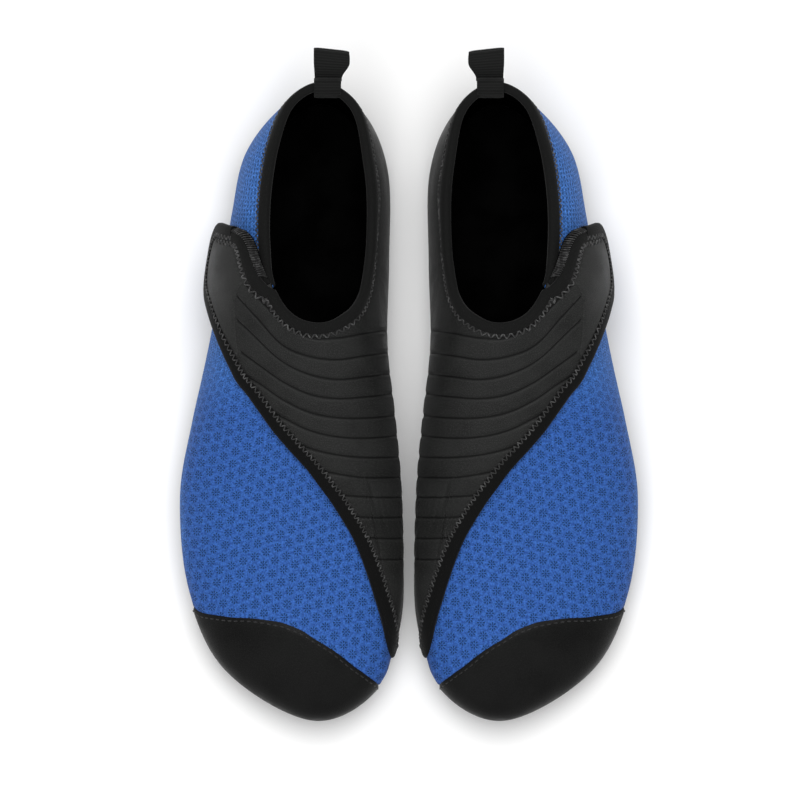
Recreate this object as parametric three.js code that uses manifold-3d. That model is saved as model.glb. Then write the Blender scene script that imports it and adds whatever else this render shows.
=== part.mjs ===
// A pair of low neoprene water boots: a blue mesh and black neoprene upper on a rubber outsole, with a
// wrap-over instep flap that closes on a hook-and-loop tab, and a webbing pull loop at the heel.
//
// Millimetres, +Z up. The boots stand side by side on Z = 0 with their toes towards -Y and heels towards +Y,
// and the plane X = 0 lies halfway between them. One boot is built in its own frame, with its outer (lateral)
// side towards -X, and the other boot is its mirror image.
//
// The upper is one curved skin. A place on it is [station, t]. The station counts round the boot from the back
// of the heel along the lateral side to the toe and back along the medial side, and t is -1 at the sole seam,
// 0 at the widest line and 1 at the collar. A panel is a patch of the skin between two offsets from it.
import * as THREE from "three";
import { mergeVertices } from "three/addons/utils/BufferGeometryUtils.js";
import Module from "manifold-3d";

const wasm = await Module();
wasm.setup();

// ---------------------------------------------------------------- driving dimensions
const SOLE_STEPS = 22; // along each side of the sole unit
const BOOT_OFFSET = 50.4; // from the plane between the boots to the middle of each boot
const HEM = 0.085; // height, in t, of a panel's last row along the collar
const PAIR_CENTRE_Y = 0.3; // heel loops and toes are equally far from here
const FEATHER_HEIGHT = 6.5; // where the upper meets the sole
const FEATHER_INSET = 6; // how far the upper tucks in under its widest line
const TOE_TIP = -142.4;
const TOE_SPRING = 6; // how far the toe tip lifts off the ground
const TOE_SPRING_START = -80;
const PANEL = 2.6; // thickness of the neoprene and mesh panels
const OVERLAY = 2.4; // thickness of the black neoprene that lies over them
const LAY_GAP = 0.6; // between that and what it lies on
const SEAM = 0.5; // between panels that meet edge to edge
const UNDERLAP = 4; // how far a panel runs on under the black neoprene
const TAPE = 1.0; // hook tape, loop tape, tab lining and tab pad, each
const TAPE_GAP = 0.4;
const BINDING = 0.7; // thickness of the edge binding
const BINDING_WIDTH = 3.7;
const BINDING_GAP = 0.35;
const LINING_GAP = 0.6; // between a binding and the inside of the panel it wraps
const OVERLOCK_EDGE = 2.4; // how far the tab lining shows past the tab's rear edge
const CAP_RELIEF = 0.6; // how far the toe cap stands proud
const COLLAR_ANGLE = THREE.MathUtils.degToRad(62); // how far the wall has turned inwards at the collar

// Stations: the widest outline (x, y) and the collar's edge (x, y, z).
const STATIONS = [
  [14.0, 125.8, 14.3, 127.6, 78.0], // back of the heel
  [-4.6, 117.2, 0.2, 120.8, 75.5],
  [-18.9, 99.0, -6.4, 103.0, 69.0],
  [-25.0, 73.1, -10.0, 80.0, 62.5], // lateral ankle
  [-29.3, 46.0, -10.2, 58.0, 61.0],
  [-34.4, 18.7, -7.6, 43.0, 65.5],
  [-41.8, -15.3, -3.2, 34.0, 70.5],
  [-47.2, -49.0, 1.5, 29.0, 74.5], // lateral ball of the foot
  [-43.3, -88.0, 6.0, 26.6, 77.0],
  [-27.2, -121.5, 9.6, 25.8, 78.2],
  [9.0, TOE_TIP, 13.0, 25.7, 78.4], // tip of the toe
  [36.0, -130.0, 16.6, 26.4, 78.0],
  [47.2, -100.0, 20.6, 28.4, 76.8],
  [47.4, -60.0, 25.8, 32.6, 74.0], // medial ball of the foot
  [44.4, -15.0, 31.0, 41.0, 68.0],
  [41.3, 18.7, 34.4, 55.0, 62.0],
  [42.0, 52.0, 35.0, 72.0, 60.5], // medial ankle
  [41.6, 90.0, 33.6, 93.0, 65.0],
  [31.8, 114.8, 28.6, 117.6, 73.5],
];
// The top of the toe box, forefoot and instep along the boot: (y, height).
const RIDGE = [
  [-150, 38.5],
  [-115, 40.0],
  [-88, 43.8],
  [-57, 51.6],
  [-28, 61.2],
  [0, 70.4],
  [27, 78.6],
  [60, 82.0],
];
const RIDGE_X = 11; // the ridge runs a little to the medial side of the middle
const TOE_ROUNDING = 47; // length over which the toe box rounds down to its tip

// Edges of the panels as [station, t].
// The lower edge of the black neoprene with its binding: the free edge of the flap from the tab's end, then, from the hinge
// point on, the sewn diagonal edge down to the medial side of the toe.
const LOWER_EDGE = [
  [3.24, 0.31],
  [3.3, 0.25],
  [3.4, 0.18],
  [3.6, 0.115],
  [3.9, 0.085],
  [4.25, 0.135],
  [4.6, 0.28],
  [4.95, 0.46],
  [5.29, 0.56],
  [5.68, 0.625],
  [6.18, 0.69],
  [6.98, 0.76],
  [7.62, 0.791],
  [8.23, 0.803],
  [8.87, 0.805],
  [9.33, 0.797],
  [9.74, 0.782],
  [10.08, 0.759],
  [10.4, 0.728],
  [10.66, 0.689],
  [10.88, 0.645],
  [11.03, 0.602],
  [11.14, 0.556],
  [11.23, 0.506],
  [11.3, 0.45],
  [11.36, 0.392],
  [11.41, 0.32],
  [11.46, 0.23],
  [11.5, 0.12],
  [11.53, 0],
];
const HINGE_LOW = [10.08, 0.773]; // where the flap's fold starts, on that edge,
const HINGE_HIGH = [12.0, 1]; // and where it ends, at the collar
// The rear upper edge of the tab, from its end to the collar.
const TAB_UPPER_EDGE = [
  [3.24, 0.38],
  [3.3, 0.5],
  [3.4, 0.68],
  [3.55, 0.82],
  [3.74, 0.9],
  [3.98, 0.945],
  [4.3, 0.965],
  [4.6, 0.972],
  [4.85, 0.978],
  [5.1, 1.0],
];
// Where the smooth pad of the tab ends and the ribbed neoprene begins.
const PAD_EDGE = [
  [4.2, 1.0],
  [4.45, 0.86],
  [4.65, 0.79],
  [4.9, 0.75],
  [5.2, 0.73],
  [5.45, 0.71],
  [5.7, 0.69],
];
// The edge of the mesh panel under the flap, from the collar to the diagonal edge.
const THROAT_EDGE = [
  [5.12, 1.0],
  [5.5, 0.95],
  [6.1, 0.915],
  [7.0, 0.89],
  [8.0, 0.875],
  [9.0, 0.86],
  [9.7, 0.84],
  [10.2, 0.8],
];
const TOE_CAP_EDGE = [
  [8.1, 0.0],
  [8.25, 0.095],
  [8.53, 0.25],
  [8.88, 0.34],
  [9.23, 0.405],
  [9.65, 0.45],
  [9.92, 0.448],
  [10.27, 0.411],
  [10.5, 0.364],
  [10.86, 0.245],
  [11.03, 0.13],
  [11.1, 0.0],
];
const HEEL_SEAM = 0.62; // the heel panel reaches this many stations to each side of the back

// ---------------------------------------------------------------- curves
const COUNT = STATIONS.length;
const smooth = THREE.MathUtils.smoothstep;
const curveThrough = (points, closed) =>
  new THREE.CatmullRomCurve3(points, closed, "catmullrom", 0.5);
const outline = curveThrough(
  STATIONS.map(([x, y]) => new THREE.Vector3(x, y, 0)),
  true,
);
const collar = curveThrough(
  STATIONS.map(([, , x, y, z]) => new THREE.Vector3(x, y, z)),
  true,
);
const turn = (station) => (((station / COUNT) % 1) + 1) % 1;
const even = (from, to, steps) =>
  Array.from({ length: steps + 1 }, (_, i) => from + ((to - from) * i) / steps);
const joined = (...lists) => [
  ...new Set(lists.flat().map((v) => Math.round(v * 1e5) / 1e5)),
];

// Straight-line interpolation in a list of [key, value] with rising or falling keys.
function along(table, key) {
  const rising = table[0][0] < table.at(-1)[0] ? 1 : -1;
  let i = 0;
  while (i < table.length - 2 && rising * (key - table[i + 1][0]) > 0) i += 1;
  const [k0, v0] = table[i];
  const [k1, v1] = table[i + 1];
  return v0 + ((v1 - v0) * (key - k0)) / (k1 - k0);
}
// A smooth curve through a list of pairs, as a finer list of pairs.
const smoothed = (table, steps = 8) =>
  curveThrough(
    table.map(([k, v]) => new THREE.Vector3(k, v, 0)),
    false,
  )
    .getPoints((table.length - 1) * steps)
    .map((p) => [p.x, p.y]);

// ---------------------------------------------------------------- the upper's skin
const ridgeHeight = smoothed(RIDGE);
const TOE_STATION = 10;
const sideTable = (from, to) =>
  even(from, to, 160).map((station) => {
    const p = outline.getPoint(turn(station));
    return [p.y, p.x];
  });
const lateralSide = sideTable(0, TOE_STATION);
const medialSide = sideTable(COUNT, TOE_STATION);

const toeSpring = (y) =>
  TOE_SPRING *
  Math.max(0, (TOE_SPRING_START - y) / (TOE_SPRING_START - TOE_TIP)) ** 2;
const widestHeight = (y) => 16.5 + 8.5 * smooth(y, -120, 60) + toeSpring(y);

// Height of the toe box, forefoot and instep, as arches across the boot.
function archHeight(x, y) {
  const low = widestHeight(y);
  const edge = along(x < RIDGE_X ? lateralSide : medialSide, y);
  const across = Math.min(1, Math.abs((x - RIDGE_X) / (edge - RIDGE_X || 1)));
  const arch = (1 - across ** (x < RIDGE_X ? 2.0 : 2.5)) ** 0.5;
  const toe = (TOE_TIP + TOE_ROUNDING - y) / TOE_ROUNDING;
  const rounding =
    (1 - Math.min(1, Math.max(0, toe)) ** 2.3) ** (1 / 2.3);
  return low + (along(ridgeHeight, y) - low) * arch * rounding;
}

// How far the underside of the upper lies below the widest line, at an inset from the outline.
const tuck = (inset, y) =>
  (widestHeight(y) - FEATHER_HEIGHT - toeSpring(y)) *
  Math.cos(Math.asin(Math.max(0, 1 - inset / FEATHER_INSET)));

function skin(station, t) {
  const side = outline.getPoint(turn(station));
  const low = widestHeight(side.y);
  if (t < 0) {
    const ahead = outline.getTangent(turn(station));
    const inset = FEATHER_INSET * (1 - Math.sin(((1 + t) * Math.PI) / 2));
    return new THREE.Vector3(
      side.x - ahead.y * inset,
      side.y + ahead.x * inset,
      low - tuck(inset, side.y),
    );
  }
  const edge = collar.getPoint(turn(station));
  const part = (1 - Math.cos(t * COLLAR_ANGLE)) / (1 - Math.cos(COLLAR_ANGLE));
  const rise = Math.sin(t * COLLAR_ANGLE) / Math.sin(COLLAR_ANGLE);
  const x = side.x + (edge.x - side.x) * part;
  const y = side.y + (edge.y - side.y) * part;
  const wall = low + (edge.z - low) * rise;
  const rear = smooth(edge.y, 36, 58);
  if (rear === 1) return new THREE.Vector3(x, y, wall);
  const dip = (edge.z - archHeight(edge.x, edge.y)) * part ** 3;
  const front = archHeight(x, y) + dip;
  return new THREE.Vector3(x, y, front + (wall - front) * rear);
}

// How the skin runs at a place: along the stations, up, and outwards.
function directions(station, t) {
  const h = 0.01;
  const low = Math.max(-1, t - h);
  return {
    around: skin(station + h, t)
      .sub(skin(station - h, t))
      .divideScalar(2 * h),
    up: skin(station, t + h)
      .sub(skin(station, low))
      .divideScalar(t + h - low),
  };
}
function offsetSkin([station, t], offset) {
  const { around, up } = directions(station, t);
  return skin(station, t).addScaledVector(around.cross(up).normalize(), offset);
}

// A curve on the skin moved sideways along it: to the left of its direction, seen from outside the boot.
function shifted(curve, distance) {
  if (!distance) return curve;
  return curve.map(([station, t], i) => {
    const [before, after] = [
      curve[Math.max(0, i - 1)],
      curve[Math.min(curve.length - 1, i + 1)],
    ];
    const { around, up } = directions(station, t);
    const ahead = skin(...after).sub(skin(...before));
    const left = around.clone().cross(up).cross(ahead).setLength(distance);
    const [a, b, c] = [around.dot(around), around.dot(up), up.dot(up)];
    const [p, q] = [left.dot(around), left.dot(up)];
    const det = a * c - b * b;
    return [station + (p * c - q * b) / det, t + (q * a - p * b) / det];
  });
}
const cutAt = (curve, from, to) => [
  [from, along(curve, from)],
  ...curve.filter(([station]) => station > from && station < to),
  [to, along(curve, to)],
];
const thinned = (curve, step) =>
  curve.filter((_, i) => i % step === 0 || i === curve.length - 1);

// ---------------------------------------------------------------- closed solids
// Turns a closed surface's faces the right way out.
function solid(points, index) {
  let volume = 0;
  for (let i = 0; i < index.length; i += 3) {
    const [a, b, c] = [points[index[i]], points[index[i + 1]], points[index[i + 2]]];
    volume += a.dot(b.clone().cross(c));
  }
  const geometry = new THREE.BufferGeometry().setFromPoints(points);
  geometry.setIndex(volume < 0 ? [...index].reverse() : index);
  return geometry;
}

// A panel. Its columns are stations; low and high give its t limits there, and footed says whether it also
// runs down under the widest line to the sole seam. inner and outer give its offsets from the skin.
function panel({ columns, rows, low, high, footed, inner, outer, footRows = 3 }) {
  const places = [];
  const inside = footed ?? (() => false);
  columns.forEach((station) => {
    const [l, h] = [low(station), high(station)];
    for (const t of even(-1, 0, footRows).slice(0, -1)) places.push([station, t]);
    const hem = Math.min(h === 1 ? HEM : 1, (h - l) / rows);
    for (const t of even(l, h - hem, rows - 1)) places.push([station, t]);
    places.push([station, h]);
  });
  const height = footRows + rows + 1;
  const quads = [];
  for (let i = 0; i < columns.length - 1; i += 1) {
    const first = inside((columns[i] + columns[i + 1]) / 2) ? 0 : footRows;
    for (let j = first; j < height - 1; j += 1) {
      const a = i * height + j;
      quads.push([a, a + 1, a + 1 + height, a + height]);
    }
  }
  const used = [...new Set(quads.flat())];
  const fresh = new Map(used.map((place, i) => [place, i]));
  const n = used.length;
  const points = [outer, inner].flatMap((offset) =>
    used.map((k) => offsetSkin(places[k], offset(...places[k]))),
  );
  const index = [];
  const rim = new Map();
  for (const quad of quads) {
    const [a, b, c, d] = quad.map((k) => fresh.get(k));
    index.push(a, b, c, a, c, d);
    index.push(a + n, c + n, b + n, a + n, d + n, c + n);
    for (const [p, q] of [[a, b], [b, c], [c, d], [d, a]]) {
      if (!rim.delete(q + "," + p)) rim.set(p + "," + q, [p, q]);
    }
  }
  for (const [p, q] of rim.values()) index.push(p, p + n, q + n, p, q + n, q);
  return solid(points, index);
}

// A strip of constant cross-section along a curve on the skin. The corners are [sideways, offset] pairs, and
// base gives the offset of the layer that the strip lies on.
function strip(curve, corners, base) {
  const rails = corners.map(([sideways, offset]) =>
    shifted(curve, sideways).map((place) =>
      offsetSkin(place, base(...place) + offset),
    ),
  );
  const sides = corners.length;
  const points = curve.flatMap((_, i) => rails.map((rail) => rail[i]));
  const index = [];
  for (let i = 0; i < curve.length - 1; i += 1)
    for (let k = 0; k < sides; k += 1) {
      const a = i * sides + k;
      const b = i * sides + ((k + 1) % sides);
      index.push(a, b, b + sides, a, b + sides, a + sides);
    }
  const end = (curve.length - 1) * sides;
  const flat = corners.map(([u, v]) => new THREE.Vector2(u, v));
  for (const [a, b, c] of THREE.ShapeUtils.triangulateShape(flat, [])) {
    const outwards = THREE.ShapeUtils.area(flat) > 0;
    index.push(...(outwards ? [a, c, b] : [a, b, c]));
    index.push(...(outwards ? [a, b, c] : [a, c, b]).map((k) => k + end));
  }
  return solid(points, index);
}

function toManifold(geometry) {
  const bare = geometry.clone();
  bare.deleteAttribute("normal");
  bare.deleteAttribute("uv");
  const merged = mergeVertices(bare, 1e-4);
  return new wasm.Manifold(
    new wasm.Mesh({
      numProp: 3,
      vertProperties: merged.attributes.position.array,
      triVerts: new Uint32Array(merged.index.array),
    }),
  );
}
function fromManifold(shape) {
  const mesh = shape.getMesh();
  return new THREE.BufferGeometry()
    .setAttribute("position", new THREE.BufferAttribute(mesh.vertProperties, 3))
    .setIndex(new THREE.BufferAttribute(mesh.triVerts, 1));
}

// ---------------------------------------------------------------- the sole unit
// A slab inside the outline. Its edge is a stack of rings, each an inset and a height over the plan, and its
// two faces run straight across from the lateral to the medial side.
function slab(rings) {
  const stations = [
    ...even(0, TOE_STATION, SOLE_STEPS),
    ...even(TOE_STATION, COUNT, SOLE_STEPS).slice(1, -1),
  ];
  const loops = rings.map(([inset, height]) =>
    stations.map((station) => {
      const p = outline.getPoint(turn(station));
      const ahead = outline.getTangent(turn(station));
      const [x, y] = [p.x - ahead.y * inset, p.y + ahead.x * inset];
      return new THREE.Vector3(x, y, height(inset, p.y) + toeSpring(p.y));
    }),
  );
  const n = stations.length;
  const index = [];
  const quad = (a, b, c, d) => index.push(a, b, c, a, c, d);
  for (let r = 0; r < rings.length - 1; r += 1)
    for (let k = 0; k < n; k += 1) {
      const [a, b] = [r * n + k, r * n + ((k + 1) % n)];
      quad(a, b, b + n, a + n);
    }
  const top = (rings.length - 1) * n;
  for (let k = 0; k < SOLE_STEPS; k += 1) {
    const [a, b, c, d] = [k, k + 1, n - k - 1, (n - k) % n];
    if (b !== c) index.push(b, a, c, b + top, c + top, a + top);
    if (a !== d) index.push(a, d, c, a + top, c + top, d + top);
  }
  return solid(loops.flat(), index);
}
const level = (height) => () => height;
// Just under the upper, at an inset from the outline.
const underUpper = (clearance) => (inset, y) =>
  widestHeight(y) - toeSpring(y) - tuck(inset, y) - clearance;

function outsole() {
  const GROOVE_WIDTH = 2.4;
  const GROOVE_DEPTH = 1.8;
  let tread = toManifold(
    slab(
      [
        [6.0, level(0)],
        [2.8, level(2.0)],
        [1.6, level(6.5)],
        [2.2, underUpper(1.1)],
        [3.8, underUpper(0.8)],
        [8.0, level(FEATHER_HEIGHT - 0.6)],
      ],
    ),
  );
  for (const y of [...even(-96, -26, 5), ...even(70, 100, 2)]) {
    const groove = new THREE.BoxGeometry(120, GROOVE_WIDTH, 2 * GROOVE_DEPTH);
    groove.translate(0, y, toeSpring(y));
    tread = tread.subtract(toManifold(groove));
  }
  return fromManifold(tread);
}
const insoleBoard = () =>
  slab(
    [
      [FEATHER_INSET + 0.7, level(FEATHER_HEIGHT)],
      [FEATHER_INSET + 0.7, level(FEATHER_HEIGHT + 1.8)],
    ],
  );
function sockliner() {
  const foot = FEATHER_HEIGHT + PANEL + 0.5;
  return slab(
    [
      [7.2, level(foot)],
      [6.2, level(foot + 1.6)],
      [6.4, level(foot + 3.4)],
    ],
  );
}

// ---------------------------------------------------------------- the fixed panels of the upper
const constant = (value) => () => value;
const lowerEdge = shifted(smoothed(LOWER_EDGE, 4), BINDING_GAP + BINDING + 0.4);
const tabUpperEdge = smoothed(TAB_UPPER_EDGE, 4);
const throatEdge = smoothed(THROAT_EDGE, 4);
const toeCapEdge = smoothed(TOE_CAP_EDGE, 4);

// The fold line of the flap is straight in plan.
const foldEdge = (() => {
  const [a, b] = [skin(...HINGE_LOW), skin(...HINGE_HIGH)];
  return even(HINGE_LOW[0], HINGE_HIGH[0], 16).map((station) => {
    let [low, high] = [0.5, 1];
    const side = (t) => {
      const p = skin(station, t);
      return (b.x - a.x) * (p.y - a.y) - (b.y - a.y) * (p.x - a.x);
    };
    const start = Math.sign(side(low)) || 1;
    for (let k = 0; k < 40; k += 1) {
      const middle = (low + high) / 2;
      if (side(middle) * start > 0) low = middle;
      else high = middle;
    }
    return [station, (low + high) / 2];
  });
})();

// The black neoprene lies over the other panels on the instep and comes down to the skin at the medial side.
const overlap = (station, t) =>
  smooth(t, 0.08, 0.38) * (1 - smooth(station, 12.8, 15));
const medialInner = (station, t) =>
  (LAY_GAP + OVERLAY) * overlap(station, t) - OVERLAY;
const medialOuter = (station, t) => medialInner(station, t) + OVERLAY;

const capFrom = TOE_CAP_EDGE[0][0];
const capTo = TOE_CAP_EDGE.at(-1)[0];
const diagonalEnd = lowerEdge.at(-1)[0];
const capColumns = even(capFrom, capTo, 14);
const lateralColumns = joined(
  even(HEEL_SEAM, 2.2, 5),
  even(2.2, THROAT_EDGE[0][0], 8),
);
const heelColumns = even(-HEEL_SEAM, HEEL_SEAM, 6);
const medialColumns = joined(
  even(HINGE_HIGH[0], 16.6, 9),
  even(16.6, COUNT - HEEL_SEAM, 9),
);
const drawnIn = ([first, ...rest], gap) => [
  first + gap,
  ...rest.slice(0, -1),
  rest.at(-1) - gap,
];

function toeCap() {
  const edge = shifted(toeCapEdge, -0.7 * SEAM);
  return panel({
    columns: [capFrom + 0.015, ...capColumns.slice(1, -1), capTo - 0.015],
    rows: 4,
    low: constant(0),
    high: (s) => Math.max(0.012, along(edge, s)),
    footed: constant(true),
    inner: constant(-PANEL),
    outer: (s, t) => CAP_RELIEF * smooth(t, -0.5, 0),
  });
}

// The mesh panel runs from the heel seam along the lateral side, over the forefoot to the medial toe. Its upper
// edge is the collar, then the throat edge under the flap, then a seam allowance under the diagonal edge.
const meshLimit = (() => {
  const hidden = shifted(lowerEdge, UNDERLAP);
  const butted = shifted(lowerEdge, -BINDING_GAP - BINDING - SEAM);
  return (station) => {
    if (station < THROAT_EDGE[0][0]) return 1;
    const t = along(butted, station);
    const allowance = smooth(t, 0.34, 0.48);
    const seam = Math.max(0.03, t + (along(hidden, station) - t) * allowance);
    const throat = THROAT_EDGE.at(-1)[0];
    return station < throat ? along(throatEdge, station) : seam;
  };
})();

function meshPanel() {
  const cap = shifted(toeCapEdge, SEAM / 2);
  const isCapped = (s) => s > capFrom && s < capTo;
  return panel({
    columns: joined(
      drawnIn(lateralColumns, 0.01),
      even(THROAT_EDGE[0][0], capFrom, 9),
      capColumns,
      even(capTo, diagonalEnd - 0.03, 6),
    ),
    rows: 6,
    low: (s) => (isCapped(s) ? along(cap, s) : 0),
    high: meshLimit,
    footed: (s) => !isCapped(s),
    inner: constant(-PANEL),
    outer: constant(0),
  });
}

function medialPanel() {
  const from = HINGE_LOW[0] + 0.02;
  const edge = shifted(lowerEdge, 0.2);
  const fold = shifted(foldEdge, -SEAM / 2);
  return panel({
    columns: joined(
      even(from, 11.0, 4),
      even(11.0, diagonalEnd + 0.012, 5),
      even(diagonalEnd + 0.012, HINGE_HIGH[0], 2),
      medialColumns.slice(0, -1),
      [COUNT - HEEL_SEAM - 0.01],
    ),
    rows: 6,
    low: (s) => (s < diagonalEnd ? along(edge, s) : 0),
    high: (s) => (s < HINGE_HIGH[0] ? along(fold, s) : 1),
    footed: (s) => s > diagonalEnd + 0.012,
    inner: medialInner,
    outer: medialOuter,
  });
}

function heelPanel() {
  return panel({
    columns: drawnIn(heelColumns, 0.005),
    rows: 5,
    low: constant(0),
    high: constant(1),
    footed: constant(true),
    inner: constant(-PANEL),
    outer: constant(0),
  });
}

// The gusset closes the throat under the flap and runs on a little under the medial panel.
function gusset() {
  const throat = shifted(throatEdge, SEAM);
  const under = shifted(foldEdge, -UNDERLAP);
  const throatEnd = THROAT_EDGE.at(-1)[0];
  return panel({
    columns: joined(
      even(THROAT_EDGE[0][0] + 0.4, throatEnd, 10),
      even(throatEnd, HINGE_HIGH[0] - 0.1, 5),
    ),
    rows: 3,
    low: (s) =>
      Math.max(
        s < throatEnd ? along(throat, s) : along(under, s),
        meshLimit(s) + 0.02,
      ),
    high: constant(0.985),
    inner: constant(-PANEL),
    outer: constant(-0.1),
  });
}

// ---------------------------------------------------------------- the instep flap and what rides on it
// Offsets at the tab, from the mesh panel outwards: loop tape, hook tape, tab lining, flap, pad.
const LOOP_TAPE = TAPE_GAP;
const HOOK_TAPE = LOOP_TAPE + TAPE + TAPE_GAP;
const TAB_LINING = HOOK_TAPE + TAPE + TAPE_GAP;
const TAB = TAB_LINING + TAPE + TAPE_GAP;
const flapInner = (station) =>
  LAY_GAP + (TAB - LAY_GAP) * (1 - smooth(station, 4.7, 6.4));
const flapOuter = (station) => flapInner(station) + OVERLAY;
const flapRear = shifted(tabUpperEdge, -OVERLOCK_EDGE);
const TAB_AT_COLLAR = TAB_UPPER_EDGE.at(-1)[0];
const TIP = TAB_UPPER_EDGE[0][0];
const tabColumns = even(3.5, 5.1, 8);
const rearLimit = (edge) => (s) =>
  s > TAB_AT_COLLAR ? 1 : Math.min(1, along(edge, s));

function instepFlap() {
  const low = shifted(lowerEdge, 0.2);
  const fold = shifted(foldEdge, SEAM / 2);
  return panel({
    columns: joined(
      [TIP + 0.1, TIP + 0.2],
      tabColumns,
      even(tabColumns.at(-1), HINGE_LOW[0], 14),
      even(HINGE_LOW[0], HINGE_HIGH[0] - 0.1, 6),
    ),
    rows: 6,
    low: (s) => (s < HINGE_LOW[0] ? along(low, s) : along(fold, s)),
    high: rearLimit(flapRear),
    inner: flapInner,
    outer: flapOuter,
  });
}

// A layer of the tab, drawn in from the tab's edges.
function tabLayer({ inset, rearInset, columns, limit, height, thickness }) {
  const low = shifted(lowerEdge, inset);
  const rear = shifted(tabUpperEdge, -rearInset);
  return panel({
    columns,
    rows: 5,
    low: (s) => along(low, s),
    high: (s) => Math.min(0.99, along(rear, s), limit ? along(limit, s) : 1),
    inner: (s) => height + flapInner(s) - TAB,
    outer: (s) => height + flapInner(s) - TAB + thickness,
  });
}
const tabLining = () =>
  tabLayer({
    inset: 3,
    rearInset: 0,
    columns: [TIP + 0.12, ...tabColumns.slice(0, -1)],
    height: TAB_LINING,
    thickness: TAPE,
  });
const hookTape = () =>
  tabLayer({
    inset: 6,
    rearInset: 8,
    columns: tabColumns.slice(1, -1),
    height: HOOK_TAPE,
    thickness: TAPE,
  });
const tabPad = () =>
  tabLayer({
    inset: BINDING_WIDTH + 1.2,
    rearInset: OVERLOCK_EDGE + BINDING_WIDTH + 1.2,
    columns: [...tabColumns.slice(1), 5.3, 5.5, 5.65],
    limit: smoothed(PAD_EDGE, 4),
    height: TAB + OVERLAY + 0.3,
    thickness: 0.6,
  });
function loopTape() {
  const low = shifted(lowerEdge, 5);
  return panel({
    columns: tabColumns,
    rows: 5,
    low: (s) => along(low, s),
    high: constant(0.76),
    inner: constant(LOOP_TAPE),
    outer: constant(LOOP_TAPE + TAPE),
  });
}

// ---------------------------------------------------------------- edge bindings
// A binding folded over an edge, as [sideways, offset] corners. The covered panel lies on the inner side (a
// negative sideways distance) between the offsets bottom and top.
const foldedOver = (bottom, top) => [
  [-BINDING_WIDTH, top + BINDING_GAP],
  [-BINDING_WIDTH, top + BINDING_GAP + BINDING],
  [BINDING_GAP, top + BINDING_GAP + BINDING],
  [BINDING_GAP + BINDING, top],
  [BINDING_GAP + BINDING, bottom],
  [BINDING_GAP, bottom],
  [BINDING_GAP, top + BINDING_GAP],
];
const wrapped = (bottom, top) => [
  [-BINDING_WIDTH, top + BINDING_GAP],
  [-BINDING_WIDTH, top + BINDING_GAP + BINDING],
  [BINDING_GAP, top + BINDING_GAP + BINDING],
  [BINDING_GAP + BINDING, top],
  [BINDING_GAP + BINDING, bottom],
  [BINDING_GAP, bottom - LINING_GAP - BINDING],
  [-BINDING_WIDTH, bottom - LINING_GAP - BINDING],
  [-BINDING_WIDTH, bottom - LINING_GAP],
  [BINDING_GAP, bottom - LINING_GAP],
  [BINDING_GAP, top + BINDING_GAP],
];
const mirroredSideways = (corners) => corners.map(([u, v]) => [-u, v]);
const collarLine = (stations) => stations.map((station) => [station, 1]);

// The collar runs anticlockwise seen from above, so the covered panels lie to its right.
function collarBinding() {
  const base = (station, t) =>
    station < 0 ? medialOuter(station + COUNT, Math.min(t, 1)) : 0;
  const stations = [
    HINGE_HIGH[0] + 0.13 - COUNT,
    ...medialColumns.slice(1).map((station) => station - COUNT),
    ...heelColumns.slice(1),
    ...lateralColumns.slice(1, -1),
  ];
  return strip(collarLine(stations), wrapped(-PANEL, 0), base);
}
const flapBase = (station) => flapInner(station);
function flapLowerBinding() {
  return strip(
    thinned(cutAt(lowerEdge, TIP + 0.04, HINGE_LOW[0] - 0.16), 3),
    mirroredSideways(foldedOver(0, OVERLAY)),
    flapBase,
  );
}
function flapUpperBinding() {
  const rear = cutAt(flapRear, TIP + 0.2, TAB_AT_COLLAR).map(([s, t]) => [
    s,
    Math.min(t, 1),
  ]);
  const curve = [
    ...thinned(rear, 3),
    ...collarLine(even(TAB_AT_COLLAR + 0.3, HINGE_HIGH[0] - 0.3, 14)),
  ];
  return strip(curve, foldedOver(0.1, OVERLAY), flapBase);
}
function diagonalBinding() {
  const curve = cutAt(lowerEdge, HINGE_LOW[0] + 0.03, diagonalEnd - 0.045);
  return strip(
    thinned(curve, 3),
    mirroredSideways(foldedOver(0.2, OVERLAY)),
    medialInner,
  );
}

// ---------------------------------------------------------------- the heel loop
const LOOP_WIDTH = 15.7;
const LOOP_ROOT_WIDTH = 11.5;
const LOOP_LENGTH = 13.6;
const LOOP_RADIUS = 2.3;
const WEBBING = 1.1;
const LOOP_AXIS_DROP = 3.4; // below the collar's edge
const heelTop = collar.getPoint(0);
const loopAxis = new THREE.Vector3(
  heelTop.x,
  heelTop.y + BINDING_GAP + BINDING + 0.3 + WEBBING + 0.35 + LOOP_RADIUS,
  heelTop.z - LOOP_AXIS_DROP,
);

// The end of the webbing that is sewn down over the collar binding.
function loopAnchor() {
  const clear = BINDING_GAP + BINDING + 0.3;
  const legs = 9;
  const [a, b] = [clear, clear + WEBBING];
  const inside = -PANEL - LINING_GAP - BINDING - 0.3;
  const corners = [
    [-legs, a],
    [-legs, b],
    [b - 0.4, b],
    [b, b - 0.4],
    [b, inside - WEBBING + 0.4],
    [b - 0.4, inside - WEBBING],
    [-legs, inside - WEBBING],
    [-legs, inside],
    [a, inside],
    [a, a],
  ];
  const half = LOOP_ROOT_WIDTH / 2 / 25;
  return strip(collarLine(even(-half, half, 4)), corners, constant(0));
}

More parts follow.
